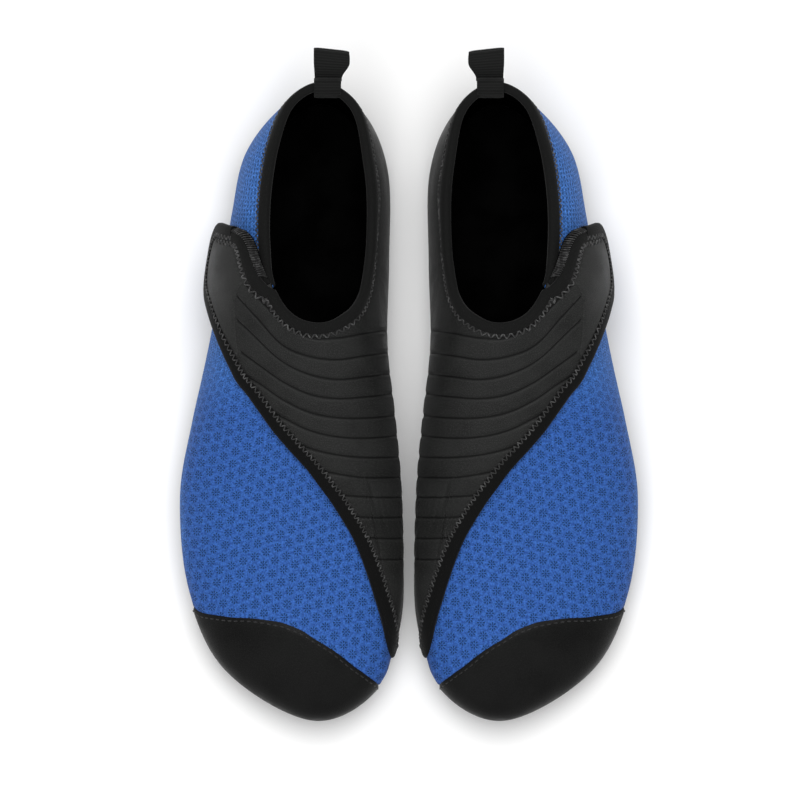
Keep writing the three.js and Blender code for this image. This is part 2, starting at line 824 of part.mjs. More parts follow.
function pullLoop() {
  const ring = (radius, length, direction) => {
    const path = direction > 0 ? new THREE.Shape() : new THREE.Path();
    path.absarc(0, 0, radius, Math.PI / 2, (Math.PI * 3) / 2, false);
    path.absarc(length, 0, radius, (Math.PI * 3) / 2, Math.PI / 2, false);
    path.closePath();
    return path;
  };
  const length = LOOP_LENGTH - 2 * LOOP_RADIUS;
  const profile = ring(LOOP_RADIUS, length, 1);
  profile.holes.push(ring(LOOP_RADIUS - WEBBING, length, -1));
  const band = new THREE.ExtrudeGeometry(profile, {
    depth: LOOP_WIDTH,
    bevelEnabled: false,
    curveSegments: 4,
    steps: 1,
  });
  const shape = toManifold(band).warp((v) => {
    const [along, up, across] = v;
    const taper = LOOP_ROOT_WIDTH / LOOP_WIDTH;
    const share = Math.min(1, Math.max(0, along / length));
    v[0] = (across - LOOP_WIDTH / 2) * (taper + (1 - taper) * share);
    v[1] = along;
    v[2] = up;
  });
  const geometry = fromManifold(shape);
  geometry.rotateX(THREE.MathUtils.degToRad(12));
  geometry.translate(loopAxis.x, loopAxis.y, loopAxis.z);
  return solid(
    Array.from({ length: geometry.attributes.position.count }, (_, i) =>
      new THREE.Vector3().fromBufferAttribute(geometry.attributes.position, i),
    ),
    [...geometry.index.array],
  );
}

// ---------------------------------------------------------------- the pair
const finish = (color, roughness, metalness = 0) =>
  new THREE.MeshStandardMaterial({ color, roughness, metalness });
const NEOPRENE = finish(0x2b2c2b, 0.85);
const BLUE_MESH = finish(0x2b5ea6, 0.8);
const RUBBER = finish(0x1c1c1c, 0.6);
const COATED = finish(0x1f201f, 0.55);
const KNIT = finish(0x161616, 0.9);
const FOAM = finish(0x0c0c0c, 0.95);
const WEB = finish(0x141414, 0.75);
const PIECES = [
  ["outsole", outsole, RUBBER],
  ["insole_board", insoleBoard, FOAM],
  ["sockliner", sockliner, FOAM],
  ["toe_cap", toeCap, COATED],
  ["mesh_panel", meshPanel, BLUE_MESH],
  ["medial_panel", medialPanel, NEOPRENE],
  ["heel_panel", heelPanel, NEOPRENE],
  ["gusset", gusset, KNIT],
  ["loop_tape", loopTape, KNIT],
  ["collar_binding", collarBinding, KNIT],
  ["diagonal_binding", diagonalBinding, KNIT],
  ["loop_anchor", loopAnchor, WEB],
  ["instep_flap", instepFlap, NEOPRENE],
  ["tab_pad", tabPad, COATED],
  ["tab_lining", tabLining, KNIT],
  ["hook_tape", hookTape, KNIT],
  ["flap_lower_binding", flapLowerBinding, KNIT],
  ["flap_upper_binding", flapUpperBinding, KNIT],
  ["pull_loop", pullLoop, WEB],
].map(([name, make, look]) => [name, make(), look]);

const boots = new THREE.Group();
for (const [side, direction] of [
  ["right", 1],
  ["left", -1],
]) {
  const boot = new THREE.Group();
  boot.position.set(-direction * BOOT_OFFSET, -PAIR_CENTRE_Y, 0);
  boot.scale.x = direction;
  for (const [name, geometry, look] of PIECES) {
    const mesh = new THREE.Mesh(geometry, look);
    mesh.name = side + "_" + name;
    boot.add(mesh);
  }
  boots.add(boot);
}

export default boots;
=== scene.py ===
"""A pair of low water boots: blue air mesh, ribbed black neoprene, a wrap-over flap and a webbing heel loop.

Lengths in the shape functions are millimetres in one boot's own frame: its outer side towards -X,
its toe towards -Y. The other boot is the mirror image. Objects are made in metres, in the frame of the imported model.
"""
import math

import bpy
import numpy as np
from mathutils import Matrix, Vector


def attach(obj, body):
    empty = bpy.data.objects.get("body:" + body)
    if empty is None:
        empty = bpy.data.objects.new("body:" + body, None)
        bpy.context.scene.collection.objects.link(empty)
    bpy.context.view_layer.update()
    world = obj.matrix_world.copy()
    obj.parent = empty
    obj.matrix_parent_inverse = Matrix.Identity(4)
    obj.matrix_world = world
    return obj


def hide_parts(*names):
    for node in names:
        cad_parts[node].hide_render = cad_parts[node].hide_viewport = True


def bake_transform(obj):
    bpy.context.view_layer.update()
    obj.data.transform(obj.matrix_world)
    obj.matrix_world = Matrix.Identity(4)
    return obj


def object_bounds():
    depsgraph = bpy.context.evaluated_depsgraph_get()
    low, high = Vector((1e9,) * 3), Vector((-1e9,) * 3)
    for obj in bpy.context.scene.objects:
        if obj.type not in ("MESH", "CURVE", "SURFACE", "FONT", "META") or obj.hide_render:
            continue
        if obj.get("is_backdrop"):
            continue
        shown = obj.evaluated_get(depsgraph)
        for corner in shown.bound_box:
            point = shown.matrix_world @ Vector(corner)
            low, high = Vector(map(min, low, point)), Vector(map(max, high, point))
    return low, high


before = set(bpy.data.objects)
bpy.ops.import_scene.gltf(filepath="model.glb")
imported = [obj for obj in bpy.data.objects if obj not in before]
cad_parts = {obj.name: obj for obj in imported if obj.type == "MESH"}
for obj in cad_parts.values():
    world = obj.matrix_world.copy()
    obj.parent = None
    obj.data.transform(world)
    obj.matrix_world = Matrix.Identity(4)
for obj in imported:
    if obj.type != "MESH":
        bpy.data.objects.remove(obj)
CAD_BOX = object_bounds()

bl_info = {
    "name": "Neoprene Water Boots",
    "version": (1, 0, 0),
    "blender": (4, 5, 0),
    "location": "View3D > Sidebar > Boots",
    "description": "Builds the upper, bindings, stitching, heel loops and soles of a pair of water boots",
    "category": "Object",
}

# ------------------------------------------------------------------ the boot's own measures
BOOT_OFFSET = 50.4
PAIR_CENTRE_Y = 0.3
FEATHER_HEIGHT = 6.5
FEATHER_INSET = 6.0
TOE_TIP = -142.4
TOE_SPRING = 6.0
TOE_SPRING_START = -80.0
PANEL = 2.6
OVERLAY = 2.4
LAY_GAP = 0.6
TAPE = 1.0
TAPE_GAP = 0.4
OVERLOCK_EDGE = 2.4
COLLAR_ANGLE = math.radians(62)
RIDGE_X = 11.0
TOE_ROUNDING = 47.0
HEEL_SEAM = 0.62
HEEL_SEAM_OUTER = 0.45
SPLIT = 15.0  # the ribbed cover ends here and the rear quarter goes on
CAP_FIRST, CAP_LAST = 8.18, 11.1  # the toe cap's stations
SUPPORT_LAST = 11.57  # the mesh panel's last station, under the flap's seam
RIB_GAP = 8.8  # usual distance between the embossed lines
FOLD_MIDDLE = (-0.032862, -0.005942, 0.071973)  # on the flap's hinge line, right boot, metres
FOLD_OUTWARD = (-0.9896, 0.1437, 0.0)
FOLD_REACH = 0.006
LOOP_HALF_WIDTH = 5.75  # of the webbing, at its root
THREAD_SIDES = 5
ZIGZAG_OUT = 0.4  # how far inside the tape's edge a zigzag starts
SIDES = ("right", "left")

# Widest outline (x, y) and collar edge (x, y, z), station by station from the back of the heel.
STATIONS = np.array([
    (14.0, 125.8, 14.3, 127.6, 78.0),
    (-4.6, 117.2, 0.2, 120.8, 75.5),
    (-18.9, 99.0, -6.4, 103.0, 69.0),
    (-25.0, 73.1, -10.0, 80.0, 62.5),
    (-29.3, 46.0, -10.2, 58.0, 61.0),
    (-34.4, 18.7, -7.6, 43.0, 65.5),
    (-41.8, -15.3, -3.2, 34.0, 70.5),
    (-47.2, -49.0, 1.5, 29.0, 74.5),
    (-43.3, -88.0, 6.0, 26.6, 77.0),
    (-27.2, -121.5, 9.6, 25.8, 78.2),
    (9.0, TOE_TIP, 13.0, 25.7, 78.4),
    (36.0, -130.0, 16.6, 26.4, 78.0),
    (47.2, -100.0, 20.6, 28.4, 76.8),
    (47.4, -60.0, 25.8, 32.6, 74.0),
    (44.4, -15.0, 31.0, 41.0, 68.0),
    (41.3, 18.7, 34.4, 55.0, 62.0),
    (42.0, 52.0, 35.0, 72.0, 60.5),
    (41.6, 90.0, 33.6, 93.0, 65.0),
    (31.8, 114.8, 28.6, 117.6, 73.5),
])
COUNT = len(STATIONS)
RIDGE = [(-150, 38.5), (-115, 40.0), (-88, 43.8), (-57, 51.6), (-28, 61.2), (0, 70.4), (27, 78.6), (60, 82.0)]
LOWER_EDGE = [
    (3.27, 0.33), (3.33, 0.25), (3.42, 0.18), (3.6, 0.115), (3.9, 0.085), (4.3, 0.18), (4.64, 0.33),
    (4.98, 0.45), (5.3, 0.54), (5.68, 0.62), (6.18, 0.69), (6.98, 0.76), (7.62, 0.791), (8.23, 0.803),
    (8.87, 0.805), (9.33, 0.797), (9.74, 0.782), (10.08, 0.759), (10.4, 0.728), (10.66, 0.689),
    (10.88, 0.645), (11.03, 0.602), (11.14, 0.556), (11.23, 0.506), (11.3, 0.45), (11.36, 0.392),
    (11.41, 0.32), (11.46, 0.23), (11.5, 0.12), (11.53, 0.0), (11.55, -0.35), (11.57, -0.7), (11.59, -1.0),
]
TAB_UPPER_EDGE = [
    (3.27, 0.4), (3.32, 0.51), (3.41, 0.68), (3.55, 0.82), (3.74, 0.9), (3.98, 0.945), (4.3, 0.965),
    (4.6, 0.972), (4.85, 0.978), (5.1, 1.0),
]
PAD_EDGE = [
    (4.3, 1.0), (4.53, 0.948), (4.62, 0.885), (4.66, 0.83), (4.7, 0.78), (4.79, 0.747), (4.9, 0.734),
    (5.1, 0.728), (5.33, 0.72), (5.6, 0.722), (5.9, 0.735), (6.1, 0.745),
]
THROAT_EDGE = [
    (5.12, 1.0), (5.5, 0.95), (6.1, 0.915), (7.0, 0.89), (8.0, 0.875), (9.0, 0.86), (9.7, 0.84), (10.2, 0.8),
]
TOE_CAP_EDGE = [
    (8.18, 0.0), (8.25, 0.095), (8.46, 0.22), (8.73, 0.314), (9.12, 0.398), (9.47, 0.44), (9.7, 0.45),
    (9.9, 0.446), (10.2, 0.418), (10.43, 0.376), (10.64, 0.316), (10.85, 0.238), (11.03, 0.13), (11.1, 0.0),
]
# The embossed lines fan out from the tab: their y at six places across the instep.
RIB_X = [-21.4, -11.6, -1.9, 8.8, 19.4, 30.0, 42.3]
RIB_LINES = [
    (50.0, 36.0, 26.5, 20.7, 20.3, 22.0, 22.9),
    (40.2, 27.1, 16.9, 12.6, 11.3, 12.6, 13.5),
    (29.2, 18.6, 10.1, 5.0, 2.9, 3.7, 4.5),
    (15.6, 8.4, 1.6, -3.5, -5.2, -4.8, -4.0),
    (6.3, 0.7, -6.1, -11.2, -13.3, -13.7, -13.3),
    (-4.8, -8.6, -13.7, -18.8, -21.4, -22.2, -21.8),
    (-15.0, -18.4, -22.7, -26.5, -29.0, -30.3, -30.8),
    (-25.6, -28.6, -32.0, -35.0, -37.1, -38.8, -39.3),
    (-36.2, -38.8, -41.4, -43.9, -46.1, -46.9, -47.8),
    (-46.9, -49.0, -51.1, -52.8, -54.5, -55.8, -56.2),
    (-56.7, -58.4, -60.1, -61.8, -63.1, -64.3, -65.2),
    (-66.0, -67.7, -69.4, -71.1, -72.4, -73.7, -74.1),
]


# ------------------------------------------------------------------ curves and the skin of the upper
def hermite(points, i, f):
    a, b, c, d = (points[i + k] for k in range(4))
    m, n = (c - a) / 2, (d - b) / 2
    return b + f * (m + f * (3 * c - 3 * b - 2 * m - n + f * (2 * b - 2 * c + m + n)))


def round_loop(points, key):
    """Places on a smooth closed curve, by station."""
    key = np.asarray(key, float) % COUNT
    i = np.minimum(np.floor(key).astype(int), COUNT - 1)
    wrapped = np.vstack([points[-1:], points, points[:2]])
    return hermite(wrapped, i, (key - i)[..., None])


def smoothed(table, steps=8):
    """A smooth curve through a list of points, as a finer list."""
    p = np.array(table, float)
    p = np.vstack([2 * p[0] - p[1], p, 2 * p[-1] - p[-2]])
    key = np.linspace(0, len(table) - 1, (len(table) - 1) * steps + 1)
    i = np.minimum(key.astype(int), len(table) - 2)
    return hermite(p, i, (key - i)[:, None])


def along(curve, key):
    return np.interp(key, curve[:, 0], curve[:, 1])


def smooth(x, low, high):
    x = np.clip((np.asarray(x, float) - low) / (high - low), 0, 1)
    return x * x * (3 - 2 * x)


def stack(x, y, z):
    return np.stack([x, y, z], axis=-1)


def unit(v):
    return v / np.maximum(np.linalg.norm(v, axis=-1, keepdims=True), 1e-9)


OUTLINE = STATIONS[:, :2]
COLLAR = STATIONS[:, 2:]
RIDGE_CURVE = smoothed(RIDGE)
LATERAL_SIDE = round_loop(OUTLINE, np.linspace(0, 10, 161))[::-1]
MEDIAL_SIDE = round_loop(OUTLINE, np.linspace(19 - 1e-6, 10, 161))[::-1]


def toe_spring(y):
    return TOE_SPRING * np.maximum(0, (TOE_SPRING_START - y) / (TOE_SPRING_START - TOE_TIP)) ** 2


def widest_height(y):
    return 16.5 + 8.5 * smooth(y, -120, 60) + toe_spring(y)


def arch_height(x, y):
    low = widest_height(y)
    lateral = x < RIDGE_X
    edge = np.where(lateral, np.interp(y, LATERAL_SIDE[:, 1], LATERAL_SIDE[:, 0]),
                    np.interp(y, MEDIAL_SIDE[:, 1], MEDIAL_SIDE[:, 0]))
    across = np.clip(np.abs((x - RIDGE_X) / np.where(np.abs(edge - RIDGE_X) < 1e-6, 1, edge - RIDGE_X)), 0, 1)
    arch = np.sqrt(1 - across ** np.where(lateral, 2.0, 2.5))
    toe = np.clip((TOE_TIP + TOE_ROUNDING - y) / TOE_ROUNDING, 0, 1)
    rounding = (1 - toe ** 2.3) ** (1 / 2.3)
    return low + (np.interp(y, RIDGE_CURVE[:, 0], RIDGE_CURVE[:, 1]) - low) * arch * rounding


def tuck(inset, y):
    fall = widest_height(y) - FEATHER_HEIGHT - toe_spring(y)
    return fall * np.cos(np.arcsin(np.clip(1 - inset / FEATHER_INSET, 0, 1)))


def skin(s, t):
    """The upper's surface at station s and height t: -1 the sole seam, 0 the widest line, 1 the collar."""
    s, t = np.broadcast_arrays(np.asarray(s, float), np.asarray(t, float))
    side, edge = round_loop(OUTLINE, s), round_loop(COLLAR, s)
    low = widest_height(side[..., 1])
    ahead = unit(round_loop(OUTLINE, s + 1e-3) - round_loop(OUTLINE, s - 1e-3))
    inset = FEATHER_INSET * (1 - np.sin((1 + np.clip(t, -1, 0)) * math.pi / 2))
    foot = stack(side[..., 0] - ahead[..., 1] * inset, side[..., 1] + ahead[..., 0] * inset,
                 low - tuck(inset, side[..., 1]))
    part = (1 - np.cos(t * COLLAR_ANGLE)) / (1 - math.cos(COLLAR_ANGLE))
    rise = np.sin(t * COLLAR_ANGLE) / math.sin(COLLAR_ANGLE)
    x = side[..., 0] + (edge[..., 0] - side[..., 0]) * part
    y = side[..., 1] + (edge[..., 1] - side[..., 1]) * part
    wall = low + (edge[..., 2] - low) * rise
    rear = smooth(edge[..., 1], 36, 58)
    dip = (edge[..., 2] - arch_height(edge[..., 0], edge[..., 1])) * part ** 3
    front = arch_height(x, y) + dip
    return np.where((t < 0)[..., None], foot, stack(x, y, front + (wall - front) * rear))


def directions(s, t):
    h = 0.01
    low = np.maximum(-1, t - h)
    around = (skin(s + h, t) - skin(s - h, t)) / (2 * h)
    up = (skin(s, t + h) - skin(s, low)) / (t + h - low)[..., None]
    return around, up


def lay(s, t, offset):
    """Points at an offset outwards from the skin."""
    s, t, offset = np.broadcast_arrays(np.asarray(s, float), np.asarray(t, float), np.asarray(offset, float))
    around, up = directions(s, t)
    return skin(s, t) + unit(np.cross(around, up)) * offset[..., None]


def shifted(curve, distance):
    """A curve on the skin moved sideways: to the left of its direction, seen from outside."""
    s, t = curve[:, 0], curve[:, 1]
    around, up = directions(s, t)
    before, after = np.vstack([curve[:1], curve[:-1]]), np.vstack([curve[1:], curve[-1:]])
    ahead = skin(after[:, 0], after[:, 1]) - skin(before[:, 0], before[:, 1])
    left = unit(np.cross(np.cross(around, up), ahead)) * distance
    a, b, c = (around * around).sum(1), (around * up).sum(1), (up * up).sum(1)
    p, q = (left * around).sum(1), (left * up).sum(1)
    det = a * c - b * b
    return np.stack([s + (p * c - q * b) / det, t + (q * a - p * b) / det], axis=1)


def resample(curve, step):
    """The same curve on the skin in even steps of so many millimetres."""
    places = skin(curve[:, 0], curve[:, 1])
    length = np.concatenate([[0], np.cumsum(np.linalg.norm(np.diff(places, axis=0), axis=1))])
    at = np.linspace(0, length[-1], max(4, int(round(length[-1] / step)) + 1))
    return np.stack([np.interp(at, length, curve[:, k]) for k in (0, 1)], axis=1)


LOWER = smoothed(LOWER_EDGE, 4)
TAB_UPPER = smoothed(TAB_UPPER_EDGE, 4)
THROAT = smoothed(THROAT_EDGE, 4)
CAP = smoothed(TOE_CAP_EDGE, 4)
PAD = smoothed(PAD_EDGE, 4)
FLAP_REAR = shifted(TAB_UPPER, -OVERLOCK_EDGE)
TIP = TAB_UPPER_EDGE[0][0]
TAB_AT_COLLAR = TAB_UPPER_EDGE[-1][0]
TAB_STACK = 4 * TAPE_GAP + 3 * TAPE


def flap_lift(s):
    """How far the flap stands off the skin: more at the tab, where the tapes lie under it."""
    return LAY_GAP + (TAB_STACK - LAY_GAP) * (1 - smooth(s, 4.0, 6.1))


def cover_inner(s, t):
    overlap = smooth(t, 0.08, 0.38) * (1 - smooth(s, 12.8, 15))
    return flap_lift(s) - (LAY_GAP + OVERLAY) * (1 - overlap) * (np.asarray(s) > 9.5)


RIB_CURVES = [smoothed(list(zip(RIB_X, row)), 6) for row in RIB_LINES]


def rib_phase(x, y):
    """A number that is whole on each embossed line, and the distance in millimetres to the nearest line."""
    rows = [np.interp(x, c[:, 0], c[:, 1]) for c in RIB_CURVES]
    phase = np.minimum(0, (rows[0] - y) / RIB_GAP)
    for a, b in zip(rows, rows[1:]):
        phase = phase + np.clip((a - y) / (a - b), 0, 1)
    phase = phase + np.maximum(0, (rows[-1] - y) / RIB_GAP)
    gap = RIB_GAP - 1.0 * smooth(x, -25, 0) * (phase > 3)
    return phase, np.abs(phase - np.round(phase)) * gap


def rib_mask(s, t, phase):
    """1 where the neoprene is ribbed: past the tab's pad, and from the first line to the last."""
    in_front = np.where(s < 4.3, 0.0, np.where(s > 6.1, 1.0, smooth(t - along(PAD, s), 0.0, 0.02)))
    return in_front * smooth(phase, -0.35, -0.1) * (1 - smooth(phase, 11.1, 11.4))


# ------------------------------------------------------------------ meshes
class Form:
    """A growing mesh: points, faces, the finish of each face, and two pairs of surface coordinates."""

    def __init__(self):
        self.points, self.faces, self.finish, self.cloth, self.marks = [], [], [], [], []
        self.count = 0

    def add(self, points, faces, finish, cloth, marks=None):
        marks = np.zeros((points.size // 3, 3)) if marks is None else marks
        self.points.append(points.reshape(-1, 3))
        self.cloth.append(cloth.reshape(-1, 2))
        self.marks.append(marks.reshape(-1, 3))
        self.faces += [tuple(int(k) + self.count for k in face) for face in faces]
        self.finish += [finish] * len(faces)
        self.count += len(self.points[-1])

    def join(self, other):
        for k, group in enumerate(zip(other.points, other.cloth, other.marks)):
            self.points.append(group[0])
            self.cloth.append(group[1])
            self.marks.append(group[2])
        self.faces += [tuple(k + self.count for k in face) for face in other.faces]
        self.finish += other.finish
        self.count += other.count
        return self


def grid_faces(n, m, start=0, flip=False):
    i, j = np.meshgrid(np.arange(n - 1), np.arange(m - 1), indexing="ij")
    a = (i * m + j).ravel() + start
    quads = np.stack([a, a + m, a + m + 1, a + 1], axis=1)
    return quads[:, ::-1] if flip else quads


def edge_distance(points, sides):
    """Distance along the grid to its nearest free edge. Sides: free first, last column and row."""
    def run(axis):
        step = np.linalg.norm(np.diff(points, axis=axis), axis=-1)
        pad = [(1, 0), (0, 0)] if axis == 0 else [(0, 0), (1, 0)]
        total = np.cumsum(np.pad(step, pad), axis=axis)
        return total, np.flip(np.cumsum(np.pad(np.flip(step, axis), pad), axis=axis), axis)
    first, last = run(0)
    low, high = run(1)
    far = np.full(points.shape[:2], 1e3)
    for free, d in zip(sides, (first, last, low, high)):
        if free:
            far = np.minimum(far, d)
    return far


def columns(first, last, step, multiple=3):
    """Stations from first to last, evenly spaced along the outline."""
    s = np.linspace(first, last, 600)
    p = round_loop(OUTLINE, s)
    length = np.concatenate([[0], np.cumsum(np.linalg.norm(np.diff(p, axis=0), axis=1))])
    n = multiple * max(2, round(length[-1] / step / multiple))
    return np.interp(np.linspace(0, length[-1], n + 1), length, s)


def cloth_map(s, t):
    """Fabric coordinates in millimetres: the skin rolled out flat from the collar."""
    levels = np.linspace(-1, 1.05, 90)
    p = skin(s[:, :1], levels[None, :])
    steps = np.linalg.norm(np.diff(p, axis=1), axis=2)
    run = np.concatenate([np.zeros((len(s), 1)), np.cumsum(steps, axis=1)], axis=1)
    edge = round_loop(COLLAR, s[:, 0])[:, :2]
    out = unit(round_loop(OUTLINE, s[:, 0]) - edge)
    rear = (1 - smooth(s[:, :1], 3.0, 6.5)) + smooth(s[:, :1], 14.5, 16.5)
    out = unit(out * (1 - rear) + rear * np.stack([np.where(s[:, 0] < 9, -1.0, 1.0), 0 * s[:, 0]], axis=1))
    away = np.stack([run[i, -1] - np.interp(t[i], levels, run[i]) for i in range(len(s))])
    return edge[:, None, :] + out[:, None, :] * away[..., None]


def patch(stations, low, high, step, inner, outer, relief=None, marks=None, crown=(0.0, 1.0),
          sides=(1, 1, 1, 1),
          waist=None, thin=3):
    """A closed panel between two offsets from the skin. Its outside is finish 0, its inside and rim 1.
    The rows of faces below the waist and above it are spaced separately."""
    lo, hi = low(stations), high(stations)
    middle = np.clip(waist(stations, lo, hi) if waist else 0.0, lo + 0.01, hi - 0.01)
    reach = np.linalg.norm(skin(stations, hi) - skin(stations, middle), axis=1).max()
    foot = thin * (15 if waist else 4 if lo.min() < -0.5 else 1)
    rows = foot + thin * max(2, round(1.12 * reach / step / thin))
    share = np.linspace(0, 1, foot + 1)[:-1]
    t = np.concatenate([
        lo[:, None] + (middle - lo)[:, None] * share,
        middle[:, None] + (hi - middle)[:, None] * np.linspace(0, 1, rows - foot + 1),
    ], axis=1)
    s = np.repeat(stations[:, None], rows + 1, axis=1)
    base = skin(s, t)
    around, up = directions(s, t)
    normal = unit(np.cross(around, up))
    far = edge_distance(base, sides)
    depth, width = crown
    drop = depth * (1 - np.sqrt(1 - (1 - np.clip(far / width, 0, 1)) ** 2))
    lift = outer(s, t) - drop + (relief(s, t, base, far) if relief else 0)
    top = base + normal * lift[..., None]
    under = (base + normal * inner(s, t)[..., None])[::thin, ::thin]
    cloth = cloth_map(s, t)
    edge = np.exp(-far / 2.5)
    first, zone = marks(s, t, base) if marks else (np.zeros_like(far), np.zeros_like(far))
    extra = np.stack([first, edge, zone], axis=-1)
    form = Form()
    n, m = s.shape
    form.add(top, grid_faces(n, m), 0, cloth, extra)
    form.add(under, grid_faces(*under.shape[:2], flip=True), 1, cloth[::thin, ::thin], extra[::thin, ::thin])
    k = under.shape[1]
    ring = [(i, 0) for i in range(n - 1)] + [(n - 1, j) for j in range(m - 1)]
    ring += [(i, m - 1) for i in range(n - 1, 0, -1)] + [(0, j) for j in range(m - 1, 0, -1)]
    rim = []
    for a, b in zip(ring, ring[1:] + ring[:1]):
        p, q = a[0] * m + a[1], b[0] * m + b[1]
        r = n * m + round(a[0] / thin) * k + round(a[1] / thin)
        u = n * m + round(b[0] / thin) * k + round(b[1] / thin)
        rim.append((p, r, q))
        if r != u:
            rim.append((q, r, u))
    form.faces += rim
    form.finish += [1] * len(rim)
    return form


def outward(faces, points):
    """The faces of a closed form, turned to face out."""
    flat, volume = points.reshape(-1, 3), 0.0
    for f in faces:
        for k in range(1, len(f) - 1):
            volume += np.dot(flat[f[0]], np.cross(flat[f[k]], flat[f[k + 1]]))
    return [f[::-1] for f in faces] if volume < 0 else faces


def swept_faces(n, m):
    """Faces of a closed profile of m points swept through n places, with its two ends."""
    faces = []
    for i in range(n - 1):
        for k in range(m):
            a, b = i * m + k, i * m + (k + 1) % m
            faces.append((a, b, b + m, a + m))
    faces.append(tuple(range(m))[::-1])
    faces.append(tuple((n - 1) * m + k for k in range(m)))
    return faces


def tube_run(paths, radius):
    """Threads: each path is a row of points, swept as a round tube with closed ends."""
    paths = np.asarray(paths, float)
    count, n = paths.shape[:2]
    ahead = unit(np.gradient(paths, axis=1))
    other = np.zeros_like(ahead)
    other[..., 2] = 1
    other = np.where(np.abs(ahead[..., 2:]) > 0.9, np.array([1.0, 0, 0]), other)
    u = unit(np.cross(ahead, other))
    v = np.cross(ahead, u)
    turn = np.arange(THREAD_SIDES) * 2 * math.pi / THREAD_SIDES
    taper = np.ones(n)
    taper[0] = taper[-1] = 0.55
    ring = u[:, :, None] * np.cos(turn)[:, None] + v[:, :, None] * np.sin(turn)[:, None]
    points = paths[:, :, None] + ring * (radius * taper)[None, :, None, None]
    faces = []
    for c in range(count):
        o = c * n * THREAD_SIDES
        for i in range(n - 1):
            for k in range(THREAD_SIDES):
                a, b = o + i * THREAD_SIDES + k, o + i * THREAD_SIDES + (k + 1) % THREAD_SIDES
                faces.append((a, a + THREAD_SIDES, b + THREAD_SIDES, b))
        faces.append(tuple(o + k for k in range(THREAD_SIDES)))
        faces.append(tuple(o + (n - 1) * THREAD_SIDES + k for k in reversed(range(THREAD_SIDES))))
    length = np.cumsum(np.pad(np.linalg.norm(np.diff(paths, axis=1), axis=2), ((0, 0), (1, 0))), axis=1)
    cloth = np.stack([np.broadcast_to(length[:, :, None], points.shape[:3]),
                      np.broadcast_to(turn, points.shape[:3])], axis=-1)
    form = Form()
    form.add(points, faces, 2, cloth)
    return form


class Track:
    """A curve on the skin with a base offset, for bindings and the threads that follow them."""

    def __init__(self, curve, base, step=1.0):
        self.curve = resample(curve, step)
        self.base = base
        p = skin(self.curve[:, 0], self.curve[:, 1])
        self.length = np.concatenate([[0], np.cumsum(np.linalg.norm(np.diff(p, axis=0), axis=1))])
        self.rails = {}

    def rail(self, sideways, offset):
        key = (round(sideways, 3), round(offset, 3))
        if key not in self.rails:
            c = shifted(self.curve, sideways) if sideways else self.curve
            self.rails[key] = lay(c[:, 0], c[:, 1], self.base(self.curve[:, 0], self.curve[:, 1]) + offset)
        return self.rails[key]

    def at(self, length, sideways, offset):
        rail = self.rail(sideways, offset)
        return np.stack([np.interp(length, self.length, rail[:, k]) for k in range(3)], axis=-1)

    def strip(self, profile):
        """A band with a closed profile of (sideways, offset) points."""
        rails = np.stack([self.rail(u, v) for u, v in profile], axis=1)
        around = np.concatenate([[0], np.cumsum(np.hypot(*np.diff(np.array(profile), axis=0).T))])
        cloth = np.stack(np.broadcast_arrays(self.length[:, None], around[None, :]), axis=-1)
        form = Form()
        form.add(rails, outward(swept_faces(*rails.shape[:2]), rails), 0, cloth)
        return form

    def zigzag(self, side_a, side_b, offset, pitch, radius):
        """Zigzag stitches between two lines beside the curve."""
        n = max(2, int(self.length[-1] / pitch))
        step = self.length[-1] / n
        u = (np.arange(n) + 0.5) * step
        out = []
        for begin, x0, x1 in ((u, side_a, side_b), (u + step / 2, side_b, side_a)):
            rows = [self.at(begin + f * step / 2, x0 * (1 - f) + x1 * f, offset + h) for f, h in
                    ((0, -0.18), (0.2, 0.12), (0.5, 0.2), (0.8, 0.12), (1, -0.18))]
            out.append(np.stack(rows, axis=1))
        return tube_run(np.concatenate(out), radius)

    def running(self, sideways, offset, stitch, gap, radius, first=0.0, last=None):
        """A line of straight stitches."""
        last = self.length[-1] if last is None else last
        n = max(2, int((last - first) / (stitch + gap)))
        u = first + np.arange(n) * (last - first) / n
        rows = [self.at(u + stitch * f, sideways, offset + h) for f, h in
                ((0, -0.2), (0.2, 0.08), (0.5, 0.14), (0.8, 0.08), (1, -0.2))]
        return tube_run(np.stack(rows, axis=1), radius)


def binding_profile(width, under, bottom, top, edge=1.0, thick=0.75):
    """Edge tape folded over a panel that lies between the offsets bottom and top, to the curve's right."""
    middle = (bottom + top) / 2
    return [
        (-width, top + 0.02), (-width + 0.02, top + thick * 0.45), (-width + 0.3, top + thick * 0.85),
        (-width + 0.9, top + thick), (-width / 2, top + thick * 1.12), (-0.8, top + thick),
        (0.1, top + thick * 0.7), (edge * 0.75, top), (edge, middle), (edge * 0.75, bottom),
        (0.1, bottom - thick * 0.7), (-0.8, bottom - thick), (-under + 0.3, bottom - thick * 0.8),
        (-under, bottom - 0.02), (-0.6, bottom - 0.02), (0.05, middle), (-0.6, top + 0.02),
    ]


